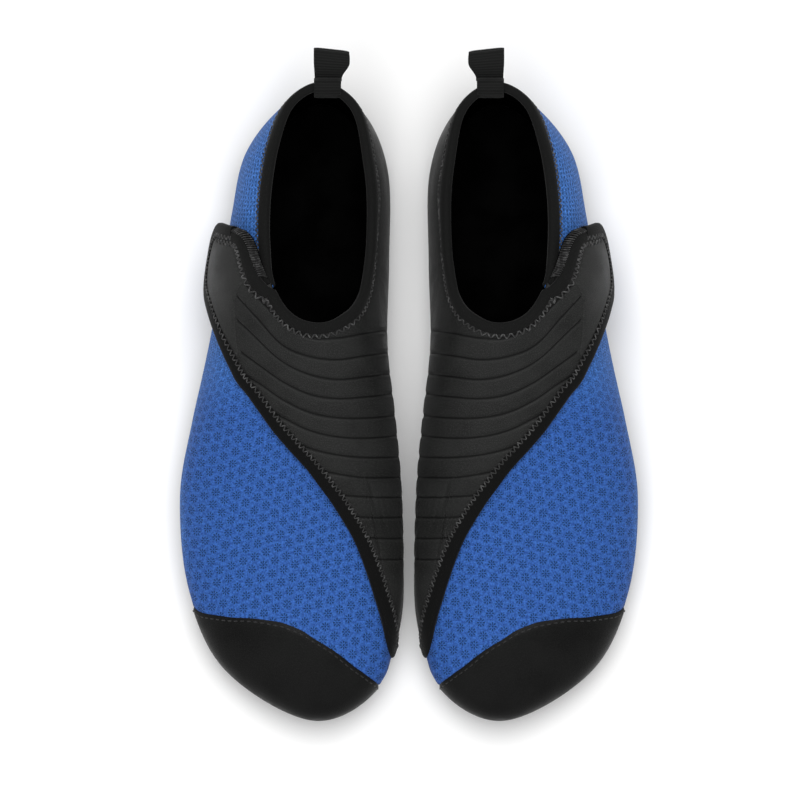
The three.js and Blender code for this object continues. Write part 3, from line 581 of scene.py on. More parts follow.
def make_object(name, form, side, materials):
    """The form as an object of the right or left boot, in metres, with its finishes."""
    points = np.vstack(form.points) + (-BOOT_OFFSET, -PAIR_CENTRE_Y, 0)
    faces = form.faces
    if side == "left":
        points = points * (-1, 1, 1)
        faces = [face[::-1] for face in faces]
    mesh = bpy.data.meshes.new(name)
    mesh.from_pydata((points / 1000).tolist(), [], faces)
    corner = np.empty(len(mesh.loops), int)
    mesh.loops.foreach_get("vertex_index", corner)
    extra = np.vstack(form.marks)
    for layer, data in (("Cloth", np.vstack(form.cloth)), ("Marks", extra[:, :2]), ("Zone", extra[:, 1:])):
        uv = mesh.uv_layers.new(name=layer)
        uv.data.foreach_set("uv", data[corner].astype(np.float32).ravel())
    for material in materials:
        mesh.materials.append(material)
    mesh.polygons.foreach_set("material_index", np.minimum(form.finish, len(materials) - 1))
    mesh.polygons.foreach_set("use_smooth", np.ones(len(faces), bool))
    mesh.set_sharp_from_angle(angle=math.radians(48))
    mesh.validate()
    obj = bpy.data.objects.new(name, mesh)
    bpy.context.scene.collection.objects.link(obj)
    return obj


def fold_line(side):
    """Where fabric starts and ends its bend across the flap's fold, in metres."""
    mirror = (1, 1, 1) if side == "right" else (-1, 1, 1)
    middle, out = np.multiply(FOLD_MIDDLE, mirror), np.multiply(FOLD_OUTWARD, mirror)
    return tuple(middle - out * FOLD_REACH), tuple(middle + out * FOLD_REACH)


def across_fold(obj, side):
    start, end = fold_line(side)
    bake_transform(obj)
    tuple(start)
    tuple(end)


# ------------------------------------------------------------------ finishes
class Tree:
    """Short ways to add and join shader nodes."""

    def __init__(self, tree):
        self.tree = tree

    def add(self, kind, inputs=None, **settings):
        node = self.tree.nodes.new(kind)
        for key, value in settings.items():
            setattr(node, key, value)
        for key, value in (inputs or {}).items():
            self.set(node.inputs[key], value)
        return node

    def set(self, socket, value):
        if isinstance(value, bpy.types.NodeSocket):
            self.tree.links.new(value, socket)
        else:
            socket.default_value = value

    def math(self, operation, a, b=None, clamp=False):
        node = self.add("ShaderNodeMath", operation=operation, use_clamp=clamp)
        self.set(node.inputs[0], a)
        if b is not None:
            self.set(node.inputs[1], b)
        return node.outputs[0]

    def ramp(self, value, low, high, to_low=0.0, to_high=1.0):
        node = self.add("ShaderNodeMapRange", interpolation_type="SMOOTHSTEP")
        for key, v in (("Value", value), ("From Min", low), ("From Max", high), ("To Min", to_low),
                       ("To Max", to_high)):
            self.set(node.inputs[key], v)
        return node.outputs["Result"]

    def noise(self, vector, scale, detail=2.0, roughness=0.5):
        node = self.add("ShaderNodeTexNoise", {"Scale": scale, "Detail": detail, "Roughness": roughness})
        self.set(node.inputs["Vector"], vector)
        return node.outputs["Fac"]

    def mix(self, factor, a, b):
        node = self.add("ShaderNodeMix", data_type="RGBA", blend_type="MIX")
        self.set(node.inputs["Factor"], factor)
        self.set(node.inputs[6], a)
        self.set(node.inputs[7], b)
        return node.outputs[2]


def group(name, inputs, outputs, fill):
    """A shader node group with named inputs and outputs, built once."""
    tree = bpy.data.node_groups.get(name)
    if tree:
        return tree
    tree = bpy.data.node_groups.new(name, "ShaderNodeTree")
    for label, kind, value in inputs:
        socket = tree.interface.new_socket(name=label, in_out="INPUT", socket_type=kind)
        if value is not None:
            socket.default_value = value
    for label, kind in outputs:
        tree.interface.new_socket(name=label, in_out="OUTPUT", socket_type=kind)
    made = Tree(tree)
    start, end = made.add("NodeGroupInput"), made.add("NodeGroupOutput")
    for label, value in fill(made, start.outputs).items():
        made.set(end.inputs[label], value)
    return tree


NUMBER, VECTOR = "NodeSocketFloat", "NodeSocketVector"


def air_mesh_group():
    """Rings of small holes on a tilted lattice, over a fine knit. Lengths in millimetres."""
    def fill(t, given):
        place, spacing, strength = given["Fabric"], given["Spacing"], given["Strength"]
        split = t.add("ShaderNodeSeparateXYZ", {"Vector": place})
        scale = t.math("DIVIDE", 1.0, spacing)
        x, y = t.math("MULTIPLY", split.outputs[0], scale), t.math("MULTIPLY", split.outputs[1], scale)
        # lattice steps, in ring spacings: a along a row, b to the next row
        (ax, ay), (bx, by) = (0.952, 0.305), (0.741, -0.671)
        det = ax * by - ay * bx
        i = t.math("ROUND", t.math("ADD", t.math("MULTIPLY", x, by / det), t.math("MULTIPLY", y, -bx / det)))
        j = t.math("ROUND", t.math("ADD", t.math("MULTIPLY", x, -ay / det), t.math("MULTIPLY", y, ax / det)))
        dx = t.math("SUBTRACT", x, t.math("ADD", t.math("MULTIPLY", i, ax), t.math("MULTIPLY", j, bx)))
        dy = t.math("SUBTRACT", y, t.math("ADD", t.math("MULTIPLY", i, ay), t.math("MULTIPLY", j, by)))
        radius = t.math("SQRT", t.math("ADD", t.math("MULTIPLY", dx, dx), t.math("MULTIPLY", dy, dy)))
        angle = t.math("ARCTAN2", dy, dx)
        band = t.ramp(t.math("ABSOLUTE", t.math("SUBTRACT", radius, 0.235)), 0.05, 0.13, 1.0, 0.0)
        petals = t.ramp(t.math("COSINE", t.math("MULTIPLY", angle, 8.0)), -0.35, 0.75)
        heart = t.ramp(radius, 0.03, 0.1, 1.0, 0.0)
        dots = t.math("MULTIPLY", t.math("MAXIMUM", t.math("MULTIPLY", band, petals), heart), strength)
        # where the rings fade the holes stand in rows, like dashes
        column = t.math("DIVIDE", split.outputs[0], 2.6)
        row = t.math("ABSOLUTE", t.math("SUBTRACT", t.math("FRACT", column), 0.5))
        turn = t.math("MULTIPLY", t.math("FLOOR", column), 2.2)
        dash = t.math("SINE", t.math("ADD", t.math("MULTIPLY", split.outputs[1], 3.7), turn))
        rows = t.math("MULTIPLY", t.ramp(row, 0.12, 0.26, 1.0, 0.0), t.ramp(dash, -0.5, 0.3))
        rows = t.math("MULTIPLY", rows, t.ramp(strength, 0.35, 0.8, 0.85, 0.0))
        dots = t.math("MAXIMUM", dots, rows)
        ring = t.math("MULTIPLY", t.ramp(radius, 0.3, 0.42, 1.0, 0.0), strength)
        knit = t.add("ShaderNodeTexVoronoi", {"Scale": 1.25, "Randomness": 0.35}, feature="F1")
        t.set(knit.inputs["Vector"], place)
        stitches = t.ramp(knit.outputs["Distance"], 0.15, 0.6)
        wander = t.noise(place, 0.85, 3.0, 0.75)
        height = t.math("SUBTRACT", t.math("MULTIPLY", stitches, -0.35), t.math("MULTIPLY", dots, 0.9))
        height = t.math("ADD", height, t.math("MULTIPLY", wander, 0.35))
        return {"Dots": dots, "Ring": ring, "Knit": stitches, "Mottle": wander, "Height": height}
    return group("Air mesh", [("Fabric", VECTOR, None), ("Spacing", NUMBER, 5.4), ("Strength", NUMBER, 1.0)],
                 [(k, NUMBER) for k in ("Dots", "Ring", "Knit", "Mottle", "Height")], fill)


def grain_group():
    """Fine jersey or leather grain with a slow change of tone."""
    def fill(t, given):
        place = given["Fabric"]
        fine = t.noise(place, given["Fineness"], 4.0, 0.7)
        cells = t.add("ShaderNodeTexVoronoi", feature="F1")
        t.set(cells.inputs["Vector"], place)
        t.set(cells.inputs["Scale"], given["Fineness"])
        slow = t.noise(place, 0.06, 2.0, 0.5)
        height = t.math("ADD", t.math("MULTIPLY", cells.outputs["Distance"], 0.6), fine)
        fleck = t.ramp(fine, 0.51, 0.6)
        return {"Height": height, "Fleck": fleck, "Tone": t.ramp(slow, 0.3, 0.7)}
    return group("Fabric grain", [("Fabric", VECTOR, None), ("Fineness", NUMBER, 2.2)],
                 [("Height", NUMBER), ("Fleck", NUMBER), ("Tone", NUMBER)], fill)


def rib_group():
    """Embossed lines where the phase is whole, with softly raised fabric between them. Line also masks the painted
    shade in each groove, and Lip the painted highlight just beside it.
    """
    def fill(t, given):
        phase, mask = given["Phase"], given["Mask"]
        off = t.math("SUBTRACT", phase, t.math("ROUND", phase))
        line = t.math("MULTIPLY", t.ramp(t.math("ABSOLUTE", off), 0.015, given["Width"], 1.0, 0.0), mask)
        beside = t.math("ABSOLUTE", t.math("SUBTRACT", off, 0.1))
        lip_and_painted_highlight = t.math("MULTIPLY", t.ramp(beside, 0.0, 0.09, 1.0, 0.0), mask)
        height = t.math("SUBTRACT", t.math("MULTIPLY", lip_and_painted_highlight, 0.25), line)
        return {"Line": line, "Lip": lip_and_painted_highlight, "Height": height}
    return group("Embossed ribs", [("Phase", NUMBER, 0.0), ("Mask", NUMBER, 1.0), ("Width", NUMBER, 0.075)],
                 [("Line", NUMBER), ("Lip", NUMBER), ("Height", NUMBER)], fill)


def wear_group():
    """Rubbed edges and dust, broken up by noise."""
    def fill(t, given):
        rub = t.ramp(t.noise(given["Fabric"], 0.8, 4.0, 0.65), 0.4, 0.7)
        wear = t.math("MULTIPLY", t.math("MULTIPLY", given["Edge"], rub), given["Amount"], clamp=True)
        dust = t.math("MULTIPLY", t.ramp(t.noise(given["Fabric"], 1.7, 6.0, 0.8), 0.62, 0.72), given["Amount"])
        return {"Wear": wear, "Dust": dust}
    return group("Edge wear", [("Fabric", VECTOR, None), ("Edge", NUMBER, 0.0), ("Amount", NUMBER, 0.3)],
                 [("Wear", NUMBER), ("Dust", NUMBER)], fill)


def ribbed_tape_group():
    """Woven tape: ribs across its length and a fine twill."""
    def fill(t, given):
        split = t.add("ShaderNodeSeparateXYZ", {"Vector": given["Fabric"]})
        length, width = split.outputs[0], split.outputs[1]
        ribs = t.math("SINE", t.math("MULTIPLY", length, t.math("DIVIDE", 2 * math.pi, given["Rib"])))
        twill = t.math("SINE", t.math("MULTIPLY", t.math("ADD", length, t.math("MULTIPLY", width, 0.7)), 11.0))
        broken = t.noise(given["Fabric"], 1.6, 3.0, 0.6)
        height = t.math("ADD", t.math("ADD", ribs, t.math("MULTIPLY", twill, 0.4)), broken)
        return {"Height": height, "Tint": t.ramp(t.math("ADD", ribs, broken), -0.4, 1.8),
                "Specks": t.ramp(broken, 0.58, 0.7)}
    return group("Woven tape", [("Fabric", VECTOR, None), ("Rib", NUMBER, 0.9)],
                 [("Height", NUMBER), ("Tint", NUMBER), ("Specks", NUMBER)], fill)


def tone(colour, factor):
    return tuple(min(1.0, c * factor) for c in colour[:3]) + (1.0,)


def finish(name, build):
    """A material by name: build(t, shader) sets its Principled shader's sockets."""
    material = bpy.data.materials.get(name)
    if material:
        return material
    material = bpy.data.materials.new(name)
    material.use_nodes = True
    t = Tree(material.node_tree)
    t.tree.nodes.clear()
    shader = t.add("ShaderNodeBsdfPrincipled")
    out = t.add("ShaderNodeOutputMaterial")
    t.tree.links.new(shader.outputs["BSDF"], out.inputs["Surface"])
    build(t, shader.inputs)
    return material


def place(t, layer="Cloth"):
    return t.add("ShaderNodeUVMap", uv_map=layer).outputs["UV"]


def in_mm(t):
    """Object coordinates in millimetres."""
    node = t.add("ShaderNodeVectorMath", operation="MULTIPLY")
    t.set(node.inputs[0], t.add("ShaderNodeTexCoord").outputs["Object"])
    t.set(node.inputs[1], (1000.0, 1000.0, 1000.0))
    return node.outputs["Vector"]


def use(t, tree, **inputs):
    node = t.add("ShaderNodeGroup", node_tree=tree)
    for key, value in inputs.items():
        t.set(node.inputs[key], value)
    return node.outputs


def bump(t, sockets, height, strength, distance_mm):
    node = t.add("ShaderNodeBump", {"Strength": strength, "Distance": distance_mm / 1000})
    t.set(node.inputs["Height"], height)
    t.set(sockets["Normal"], node.outputs["Normal"])


def marks(t):
    return t.add("ShaderNodeSeparateXYZ", {"Vector": place(t, "Marks")}).outputs


def plain_shader(sockets, rough, gloss, sheen=0.0, sheen_rough=0.5):
    """Values that are the same all over the material."""
    sockets["Roughness"].default_value = rough
    sockets["Specular IOR Level"].default_value = gloss
    sockets["Sheen Weight"].default_value = sheen
    sockets["Sheen Roughness"].default_value = sheen_rough


def blue_mesh_finish():
    colour = bpy.context.scene.boot_colours.mesh

    def build(t, sockets):
        fabric, mark = place(t), marks(t)
        mesh = use(t, air_mesh_group(), Fabric=fabric, Spacing=bpy.context.scene.boot_sizes.ring_spacing * 1000,
                   Strength=mark[0])
        wear = use(t, wear_group(), Fabric=fabric, Edge=mark[1], Amount=0.25)
        base = t.mix(t.ramp(mesh["Mottle"], 0.4, 0.6), tone(colour, 0.5), tone(colour, 1.6))
        # Painted shade: the blue darkens towards the toe and stays lighter towards the heel, following the
        # ring-strength mark.
        base = t.mix(t.ramp(mark[0], 0.35, 1.0, 0.0, 0.5), base, (0.0, 0.0, 0.17, 1.0))
        base = t.mix(t.math("MULTIPLY", mesh["Ring"], 0.15), base, tone(colour, 0.45))
        base = t.mix(t.math("MULTIPLY", mesh["Knit"], 0.65), base, tone(colour, 0.5))
        base = t.mix(t.math("MULTIPLY", mesh["Dots"], 0.95), base, tone(colour, 0.17))
        base = t.mix(wear["Wear"], base, tone(colour, 1.5))
        t.set(sockets["Base Color"], base)
        plain_shader(sockets, 0.75, 0.08, 0.03, 0.4)
        t.set(sockets["Roughness"], t.ramp(mesh["Dots"], 0.0, 1.0, 0.68, 0.95))
        bump(t, sockets, mesh["Height"], 0.55, 0.35)
    return finish("Blue air mesh", build)


def neoprene_finish(name="Black neoprene", factor=1.0, rough=0.62, gloss=0.12, fineness=2.4, amount=0.35,
                    ribbed=True):
    """Matt black cloth. The factor scales its colour and the amount its wear."""
    colour = bpy.context.scene.boot_colours.neoprene

    def build(t, sockets):
        fabric, mark = place(t), marks(t)
        grain = use(t, grain_group(), Fabric=fabric, Fineness=fineness)
        wear = use(t, wear_group(), Fabric=fabric, Edge=mark[1], Amount=amount)
        base = t.mix(grain["Tone"], tone(colour, 0.55 * factor), tone(colour, 1.0 * factor))
        base = t.mix(t.math("MULTIPLY", grain["Fleck"], 0.7), base, tone(colour, 3.0 * factor))
        height = t.math("MULTIPLY", grain["Height"], 0.3)
        if ribbed:
            zone = t.add("ShaderNodeSeparateXYZ", {"Vector": place(t, "Zone")}).outputs[1]
            rib = use(t, rib_group(), Phase=mark[0], Mask=t.ramp(zone, 0.35, 0.65), Width=0.08)
            # Painted shade: each embossed line is darkened where its groove is shaded.
            base = t.mix(t.math("MULTIPLY", rib["Line"], 0.85), base, tone(colour, 0.12))
            # Painted highlight: the fabric just beside each line is lightened.
            base = t.mix(t.math("MULTIPLY", rib["Lip"], 0.25), base, tone(colour, 2.0))
            height = t.math("ADD", height, t.math("MULTIPLY", rib["Height"], 0.8))
        base = t.mix(t.math("MAXIMUM", wear["Wear"], wear["Dust"]), base, tone(colour, 3.2 * factor))
        t.set(sockets["Base Color"], base)
        plain_shader(sockets, rough, gloss, 0.06, 0.35)
        t.set(sockets["Roughness"], t.ramp(grain["Tone"], 0.0, 1.0, rough - 0.08, rough + 0.1))
        bump(t, sockets, height, 0.5, 0.45)
    return finish(name, build)


def toe_cap_finish():
    return neoprene_finish("Coated toe cloth", factor=0.4, rough=0.5, gloss=0.07, fineness=2.6, amount=0.3,
                           ribbed=False)


def pad_finish():
    return neoprene_finish("Pressed pad cloth", rough=0.55, gloss=0.14, amount=0.3, ribbed=False)


def lining_finish():
    def build(t, sockets):
        grain = use(t, grain_group(), Fabric=place(t), Fineness=1.6)
        # Far darker than black jersey: painted shade of the boot's inside, over the lining's own black.
        dark, light = (0.0004, 0.0004, 0.0004, 1), (0.0012, 0.0012, 0.0012, 1)
        t.set(sockets["Base Color"], t.mix(grain["Fleck"], dark, light))
        plain_shader(sockets, 0.95, 0.0)
        t.set(sockets["Roughness"], t.ramp(grain["Tone"], 0.0, 1.0, 0.9, 1.0))
        bump(t, sockets, grain["Height"], 0.3, 0.2)
    return finish("Black jersey lining in painted shade", build)


def tape_finish(name="Edge binding knit", factor=0.5, rib=0.55, rough=0.85, speck=0.5):
    """Woven or knitted tape. Its ribs are so many millimetres apart."""
    colour = bpy.context.scene.boot_colours.neoprene

    def build(t, sockets):
        tape = use(t, ribbed_tape_group(), Fabric=place(t), Rib=rib)
        base = t.mix(tape["Tint"], tone(colour, 0.8 * factor), tone(colour, 1.2 * factor))
        base = t.mix(t.math("MULTIPLY", tape["Specks"], speck), base, tone(colour, 3.0 * factor))
        t.set(sockets["Base Color"], base)
        plain_shader(sockets, rough, 0.08, 0.06, 0.4)
        t.set(sockets["Roughness"], t.ramp(tape["Specks"], 0.0, 1.0, rough, rough - 0.15))
        bump(t, sockets, tape["Height"], 0.3, 0.15)
    return finish(name, build)


def thread_finish(name="Stitching thread", factor=1.0):
    colour = tone(bpy.context.scene.boot_colours.thread, factor)

    def build(t, sockets):
        split = t.add("ShaderNodeSeparateXYZ", {"Vector": place(t)}).outputs
        twist = t.math("SINE", t.math("ADD", t.math("MULTIPLY", split[0], 14.0), split[1]))
        # Painted highlight: bright patches in the thread's colour stand in for glints on the thread.
        painted_glints = t.noise(in_mm(t), 0.5, 2.0)
        base = t.mix(t.ramp(twist, -1.0, 1.0), tone(colour, 0.5), tone(colour, 1.4))
        t.set(sockets["Base Color"], t.mix(t.ramp(painted_glints, 0.5, 0.62), base, tone(colour, 4.5)))
        plain_shader(sockets, 0.55, 0.4, 0.1, 0.4)
        t.set(sockets["Roughness"], t.ramp(twist, -1.0, 1.0, 0.6, 0.45))
        bump(t, sockets, twist, 0.4, 0.08)
    return finish(name, build)


def rubber_finish():
    colour = bpy.context.scene.boot_colours.rubber

    def build(t, sockets):
        where = in_mm(t)
        grain = use(t, grain_group(), Fabric=where, Fineness=1.1)
        wear = use(t, wear_group(), Fabric=where, Edge=marks(t)[1], Amount=0.5)
        base = t.mix(grain["Tone"], tone(colour, 0.8), tone(colour, 1.2))
        worn = t.math("MAXIMUM", wear["Wear"], wear["Dust"])
        t.set(sockets["Base Color"], t.mix(worn, base, tone(colour, 3.0)))
        plain_shader(sockets, 0.6, 0.4)
        t.set(sockets["Roughness"], t.ramp(grain["Tone"], 0.0, 1.0, 0.5, 0.72))
        bump(t, sockets, grain["Height"], 0.35, 0.2)
    return finish("Sole rubber", build)


def foam_finish():
    def build(t, sockets):
        grain = use(t, grain_group(), Fabric=in_mm(t), Fineness=0.9)
        # Near-black: painted shade of the boot's inside, over the foam's own dark colour.
        dark, light = (0.0006, 0.0006, 0.0006, 1), (0.0015, 0.0015, 0.0015, 1)
        t.set(sockets["Base Color"], t.mix(grain["Tone"], dark, light))
        plain_shader(sockets, 0.95, 0.0)
        t.set(sockets["Roughness"], t.ramp(grain["Fleck"], 0.0, 1.0, 0.98, 0.85))
        bump(t, sockets, grain["Height"], 0.5, 0.3)
    return finish("Insole foam in painted shade", build)


# ------------------------------------------------------------------ sizes and colours a user may change
class BootSizes(bpy.types.PropertyGroup):
    """Sizes of the fabric details."""

    binding_width: bpy.props.FloatProperty(
        name="Binding Width", description="Width of the folded edge tape", default=0.0037, unit="LENGTH")
    rib_depth: bpy.props.FloatProperty(
        name="Rib Depth", description="Depth of the embossed lines across the instep",
        default=0.0006, unit="LENGTH")
    rib_width: bpy.props.FloatProperty(
        name="Rib Line Width", description="Half width of an embossed line", default=0.0009, unit="LENGTH")
    ring_spacing: bpy.props.FloatProperty(
        name="Ring Spacing", description="Distance between the rings of the air mesh",
        default=0.0059, unit="LENGTH")
    thread_radius: bpy.props.FloatProperty(
        name="Thread Radius", description="Half thickness of the stitching thread",
        default=0.0003, unit="LENGTH")
    stitch_pitch: bpy.props.FloatProperty(
        name="Zigzag Pitch", description="Length of one zigzag stitch pair", default=0.0024, unit="LENGTH")
    webbing: bpy.props.FloatProperty(
        name="Webbing Thickness", description="Thickness of the heel loop's webbing",
        default=0.0011, unit="LENGTH")
    tread_depth: bpy.props.FloatProperty(
        name="Tread Depth", description="Depth of the grooves under the sole", default=0.0018, unit="LENGTH")


class BootColours(bpy.types.PropertyGroup):
    """Colours of the boots."""

    mesh: bpy.props.FloatVectorProperty(
        name="Mesh", description="Colour of the air mesh", subtype="COLOR", size=4,
        default=(0.052, 0.172, 0.52, 1.0), min=0, max=1)
    neoprene: bpy.props.FloatVectorProperty(
        name="Neoprene", description="Colour of the neoprene and its bindings", subtype="COLOR", size=4,
        default=(0.0125, 0.0128, 0.0125, 1.0), min=0, max=1)
    thread: bpy.props.FloatVectorProperty(
        name="Thread", description="Colour of the stitching", subtype="COLOR", size=4,
        default=(0.013, 0.013, 0.013, 1.0), min=0, max=1)
    rubber: bpy.props.FloatVectorProperty(
        name="Rubber", description="Colour of the outsole", subtype="COLOR", size=4,
        default=(0.012, 0.012, 0.013, 1.0), min=0, max=1)


def size(name):
    return getattr(bpy.context.scene.boot_sizes, name) * 1000


# ------------------------------------------------------------------ the pieces
def constant(value):
    return lambda s, *rest: np.full(np.shape(s), float(value))


def both(name, form, materials, body, nodes=(), blended=False):
    """The piece on both boots. A blended piece crosses the flap's fold."""
    for side in SIDES:
        obj = make_object(side + "_" + name + "_cloth", form, side, materials)
        if blended:
            across_fold(obj, side)
        else:
            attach(obj, side + "_" + body)
        if nodes:
            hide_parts(*[side + "_" + node for node in nodes])


class BOOTS_OT_mesh_panels(bpy.types.Operator):
    """Blue air mesh over the forefoot, along the outer side and round to the heel seam"""

    bl_idname = "water_boots.mesh_panels"
    bl_label = "Mesh Panels"

    def execute(self, context):
        hidden = shifted(LOWER, 4.0)

        def high(s):
            seam = along(hidden, s)
            edge = np.where(s < THROAT_EDGE[-1][0], along(THROAT, s), seam)
            return np.where(s < THROAT_EDGE[0][0], 1.0, np.clip(edge, -0.9, 1.0))

        def outer(s, t):
            at_cap = (s > CAP_FIRST) & (s < CAP_LAST)
            under_cap = smooth(np.where(at_cap, along(CAP, s), 0) - t, 0.0, 0.03) * at_cap
            tail = smooth(s, 11.3, 11.5)
            return -0.8 * under_cap - 0.5 * tail

        # How strong the rings are. The same mark also drives the blue's painted shade: strong and dark at the toe,
        # fading towards the heel.
        def rings_and_painted_shade(s, t, base):
            y = base[..., 1]
            front = 1 - 0.65 * smooth(y, -25, 30)
            side_fade = 1 - 0.6 * smooth(0.3 - t, 0, 0.28) * smooth(y, -95, -60)
            return np.clip(front * side_fade, 0.2, 1), np.zeros_like(y)

        def relief(s, t, base, far):
            return 0.12 * np.sin(base[..., 0] * 0.21 + 1.3 * np.sin(base[..., 1] * 0.07)) * smooth(far, 0, 12)

        stations = columns(HEEL_SEAM_OUTER + 0.005, SUPPORT_LAST, 1.2)
        form = patch(stations, constant(-1), high, 1.2, constant(-PANEL), outer,
                     relief=relief, marks=rings_and_painted_shade, crown=(0.3, 1.0))
        both("mesh_panel", form, [blue_mesh_finish(), lining_finish()], "boot", ["mesh_panel"])
        return {"FINISHED"}


def rib_relief(s, t, base, far):
    """Embossed lines with gently puffed fabric between them."""
    phase, distance = rib_phase(base[..., 0], base[..., 1])
    mask = rib_mask(s, t, phase)
    line = np.exp(-((distance / size("rib_width")) ** 2))
    puff = np.clip(np.sin(np.pi * (phase - np.floor(phase))), 0, 1) ** 0.6
    depth = size("rib_depth") * (0.3 + 0.7 * smooth(t, 0.0, 0.3))
    return mask * (0.1 * puff * smooth(far, 0, 6) * smooth(t, 0.0, 0.3) - depth * line)


def rib_marks(s, t, base):
    phase, _ = rib_phase(base[..., 0], base[..., 1])
    return phase, rib_mask(s, t, phase)


class BOOTS_OT_ribbed_cover(bpy.types.Operator):
    """Ribbed black neoprene: the flap with its tab, and the inner side it folds from"""

    bl_idname = "water_boots.ribbed_cover"
    bl_label = "Ribbed Cover and Rear Quarter"

    def execute(self, context):
        def low(s):
            return np.where(s < LOWER[-1, 0], along(LOWER, s), -1.0)

        def high(s):
            return np.where(s > TAB_AT_COLLAR, 1.0, np.minimum(1, along(FLAP_REAR, s)))

        def outer(s, t):
            return cover_inner(s, t) + OVERLAY

        def waist(s, lo, hi):
            inner_side = smooth(s, 10.6, 11.1)
            return (1 - inner_side) * (0.6 * lo + 0.4 * hi) + inner_side * (0.76 - 0.4 * smooth(s, 11.1, 13.5))

        form = patch(columns(TIP + 0.02, SPLIT, 0.95), low, high, 0.95, cover_inner, outer, relief=rib_relief,
                     marks=rib_marks, crown=(0.5, 1.6), sides=(1, 0, 1, 1), waist=waist)
        both("ribbed_cover", form, [neoprene_finish(), lining_finish()], "", ["instep_flap"],
             blended=True)
        rear = patch(columns(SPLIT, COUNT - HEEL_SEAM - 0.005, 1.3), constant(-1), constant(1), 1.3,
                     cover_inner, outer, relief=rib_relief, marks=rib_marks, crown=(0.3, 1.0),
                     sides=(0, 1, 1, 1))
        both("rear_quarter", rear, [neoprene_finish(), lining_finish()], "boot", ["medial_panel"])
        return {"FINISHED"}


class BOOTS_OT_caps(bpy.types.Operator):
    """Coated toe cap, heel panel and the stretch gusset under the flap"""

    bl_idname = "water_boots.caps"
    bl_label = "Toe Cap, Heel and Gusset"

    def execute(self, context):
        cap = Track(shifted(CAP, -1.6), constant(0.55))
        stations = columns(CAP_FIRST + 0.01, CAP_LAST - 0.015, 1.1)
        form = patch(stations, constant(-1), lambda s: along(CAP, s), 1.1, constant(-0.8),
                     constant(0.65), crown=(0.75, 1.6), sides=(1, 1, 0, 1))
        form.join(cap.running(0, 0.02, 2.0, 0.9, size("thread_radius")))
        finishes = [toe_cap_finish(), lining_finish(), thread_finish("Dark thread", 0.1)]
        both("toe_cap", form, finishes, "boot", ["toe_cap"])
        heel = patch(columns(-HEEL_SEAM, HEEL_SEAM_OUTER, 1.2), constant(-1), constant(1), 1.2,
                     constant(-PANEL - 0.05), constant(0.25), crown=(0.5, 1.4), sides=(1, 1, 0, 1))
        for s in (-HEEL_SEAM + 0.09, HEEL_SEAM_OUTER - 0.09):
            seam = Track(np.array([(s, t) for t in np.linspace(-0.9, 0.9, 40)]), constant(0.25))
            heel.join(seam.running(0, 0.0, 1.9, 0.9, size("thread_radius")))
        both("heel_panel", heel, [neoprene_finish(), lining_finish(), thread_finish()], "boot",
             ["heel_panel"])
        inner_edge = shifted(THROAT, -3.0)

        def low(s):
            return np.minimum(0.95, np.where(s < 10.2, along(inner_edge, s), 0.78 + 0.11 * smooth(s, 10.2, 12)))
        gusset = patch(columns(5.4, 12.2, 1.6), low, constant(0.985), 1.6, constant(-PANEL - 0.9),
                       constant(-PANEL - 0.1), crown=(0.2, 1.0))
        both("gusset", gusset, [tape_finish("Stretch knit", 0.5, 1.2), lining_finish()], "boot",
             ["gusset"])
        return {"FINISHED"}


def tab_layer(inset, rear_inset, first, last, height, thickness, step, crown, limit=None, relief=None):
    """A layer of the tab at a height over the skin, set in from the tab's lower and rear edges."""
    low = shifted(LOWER[LOWER[:, 0] < 9], inset)
    rear = shifted(TAB_UPPER, -rear_inset)

    def top(s):
        edge = np.minimum(0.99, along(rear, s))
        return np.minimum(edge, along(limit, s)) if limit is not None else edge

    def base(s, t):
        return height + flap_lift(s) - TAB_STACK
    return patch(columns(first, last, step), lambda s: np.minimum(along(low, s), top(s) - 0.01), top, step, base,
                 lambda s, t: base(s, t) + thickness, crown=crown, relief=relief)


class BOOTS_OT_tab_layers(bpy.types.Operator):
    """The tab's pressed pad, its lining, the hook tape under it and the loop tape on the boot's side"""

    bl_idname = "water_boots.tab_layers"
    bl_label = "Tab Pad and Tapes"

    def execute(self, context):
        radius = size("thread_radius")
        pad = tab_layer(5.2, 7.6, 3.4, 5.95, TAB_STACK + OVERLAY - 0.3, 0.75, 0.9, (0.4, 2.4), limit=PAD)
        arc = Track(PAD, lambda s, t: flap_lift(s) + OVERLAY)
        pad.join(arc.running(-1.2, 0.05, 1.5, 0.7, radius * 0.9, 4.0, arc.length[-1] - 1))
        both("tab_pad", pad, [pad_finish(), pad_finish(), thread_finish()], "flap",
             ["tab_pad"])

        lining = tab_layer(2.6, -0.3, TIP + 0.1, 5.0, TAPE_GAP * 3 + 2 * TAPE, 1.1, 1.2, (0.4, 1.0))
        both("tab_lining", lining, [tape_finish("Stretch knit", 0.5, 1.2), lining_finish()], "flap",
             ["tab_lining"])

        def tufts(s, t, base, far):
            return 0.18 * np.sin(base[..., 1] * 3.9) * np.sin(base[..., 2] * 3.9) * smooth(far, 0, 1)
        hooks = tab_layer(6.5, 8.5, 3.58, 4.9, TAPE_GAP * 2 + TAPE, 1.0, 0.8, (0.5, 0.9), relief=tufts)
        both("hook_tape", hooks, [tape_finish("Hook tape", 0.9, 1.5, 0.5)], "flap", ["hook_tape"])
        low = shifted(LOWER[LOWER[:, 0] < 9], 5.5)
        loops = patch(columns(3.55, 5.05, 0.9), lambda s: along(low, s), constant(0.7), 0.9, constant(0.1),
                      constant(TAPE + 0.3), crown=(0.7, 1.4), relief=tufts)
        both("loop_tape", loops, [tape_finish("Loop tape", 0.5, 2.1, 0.95, 0.6)], "boot",
             ["loop_tape"])
        return {"FINISHED"}


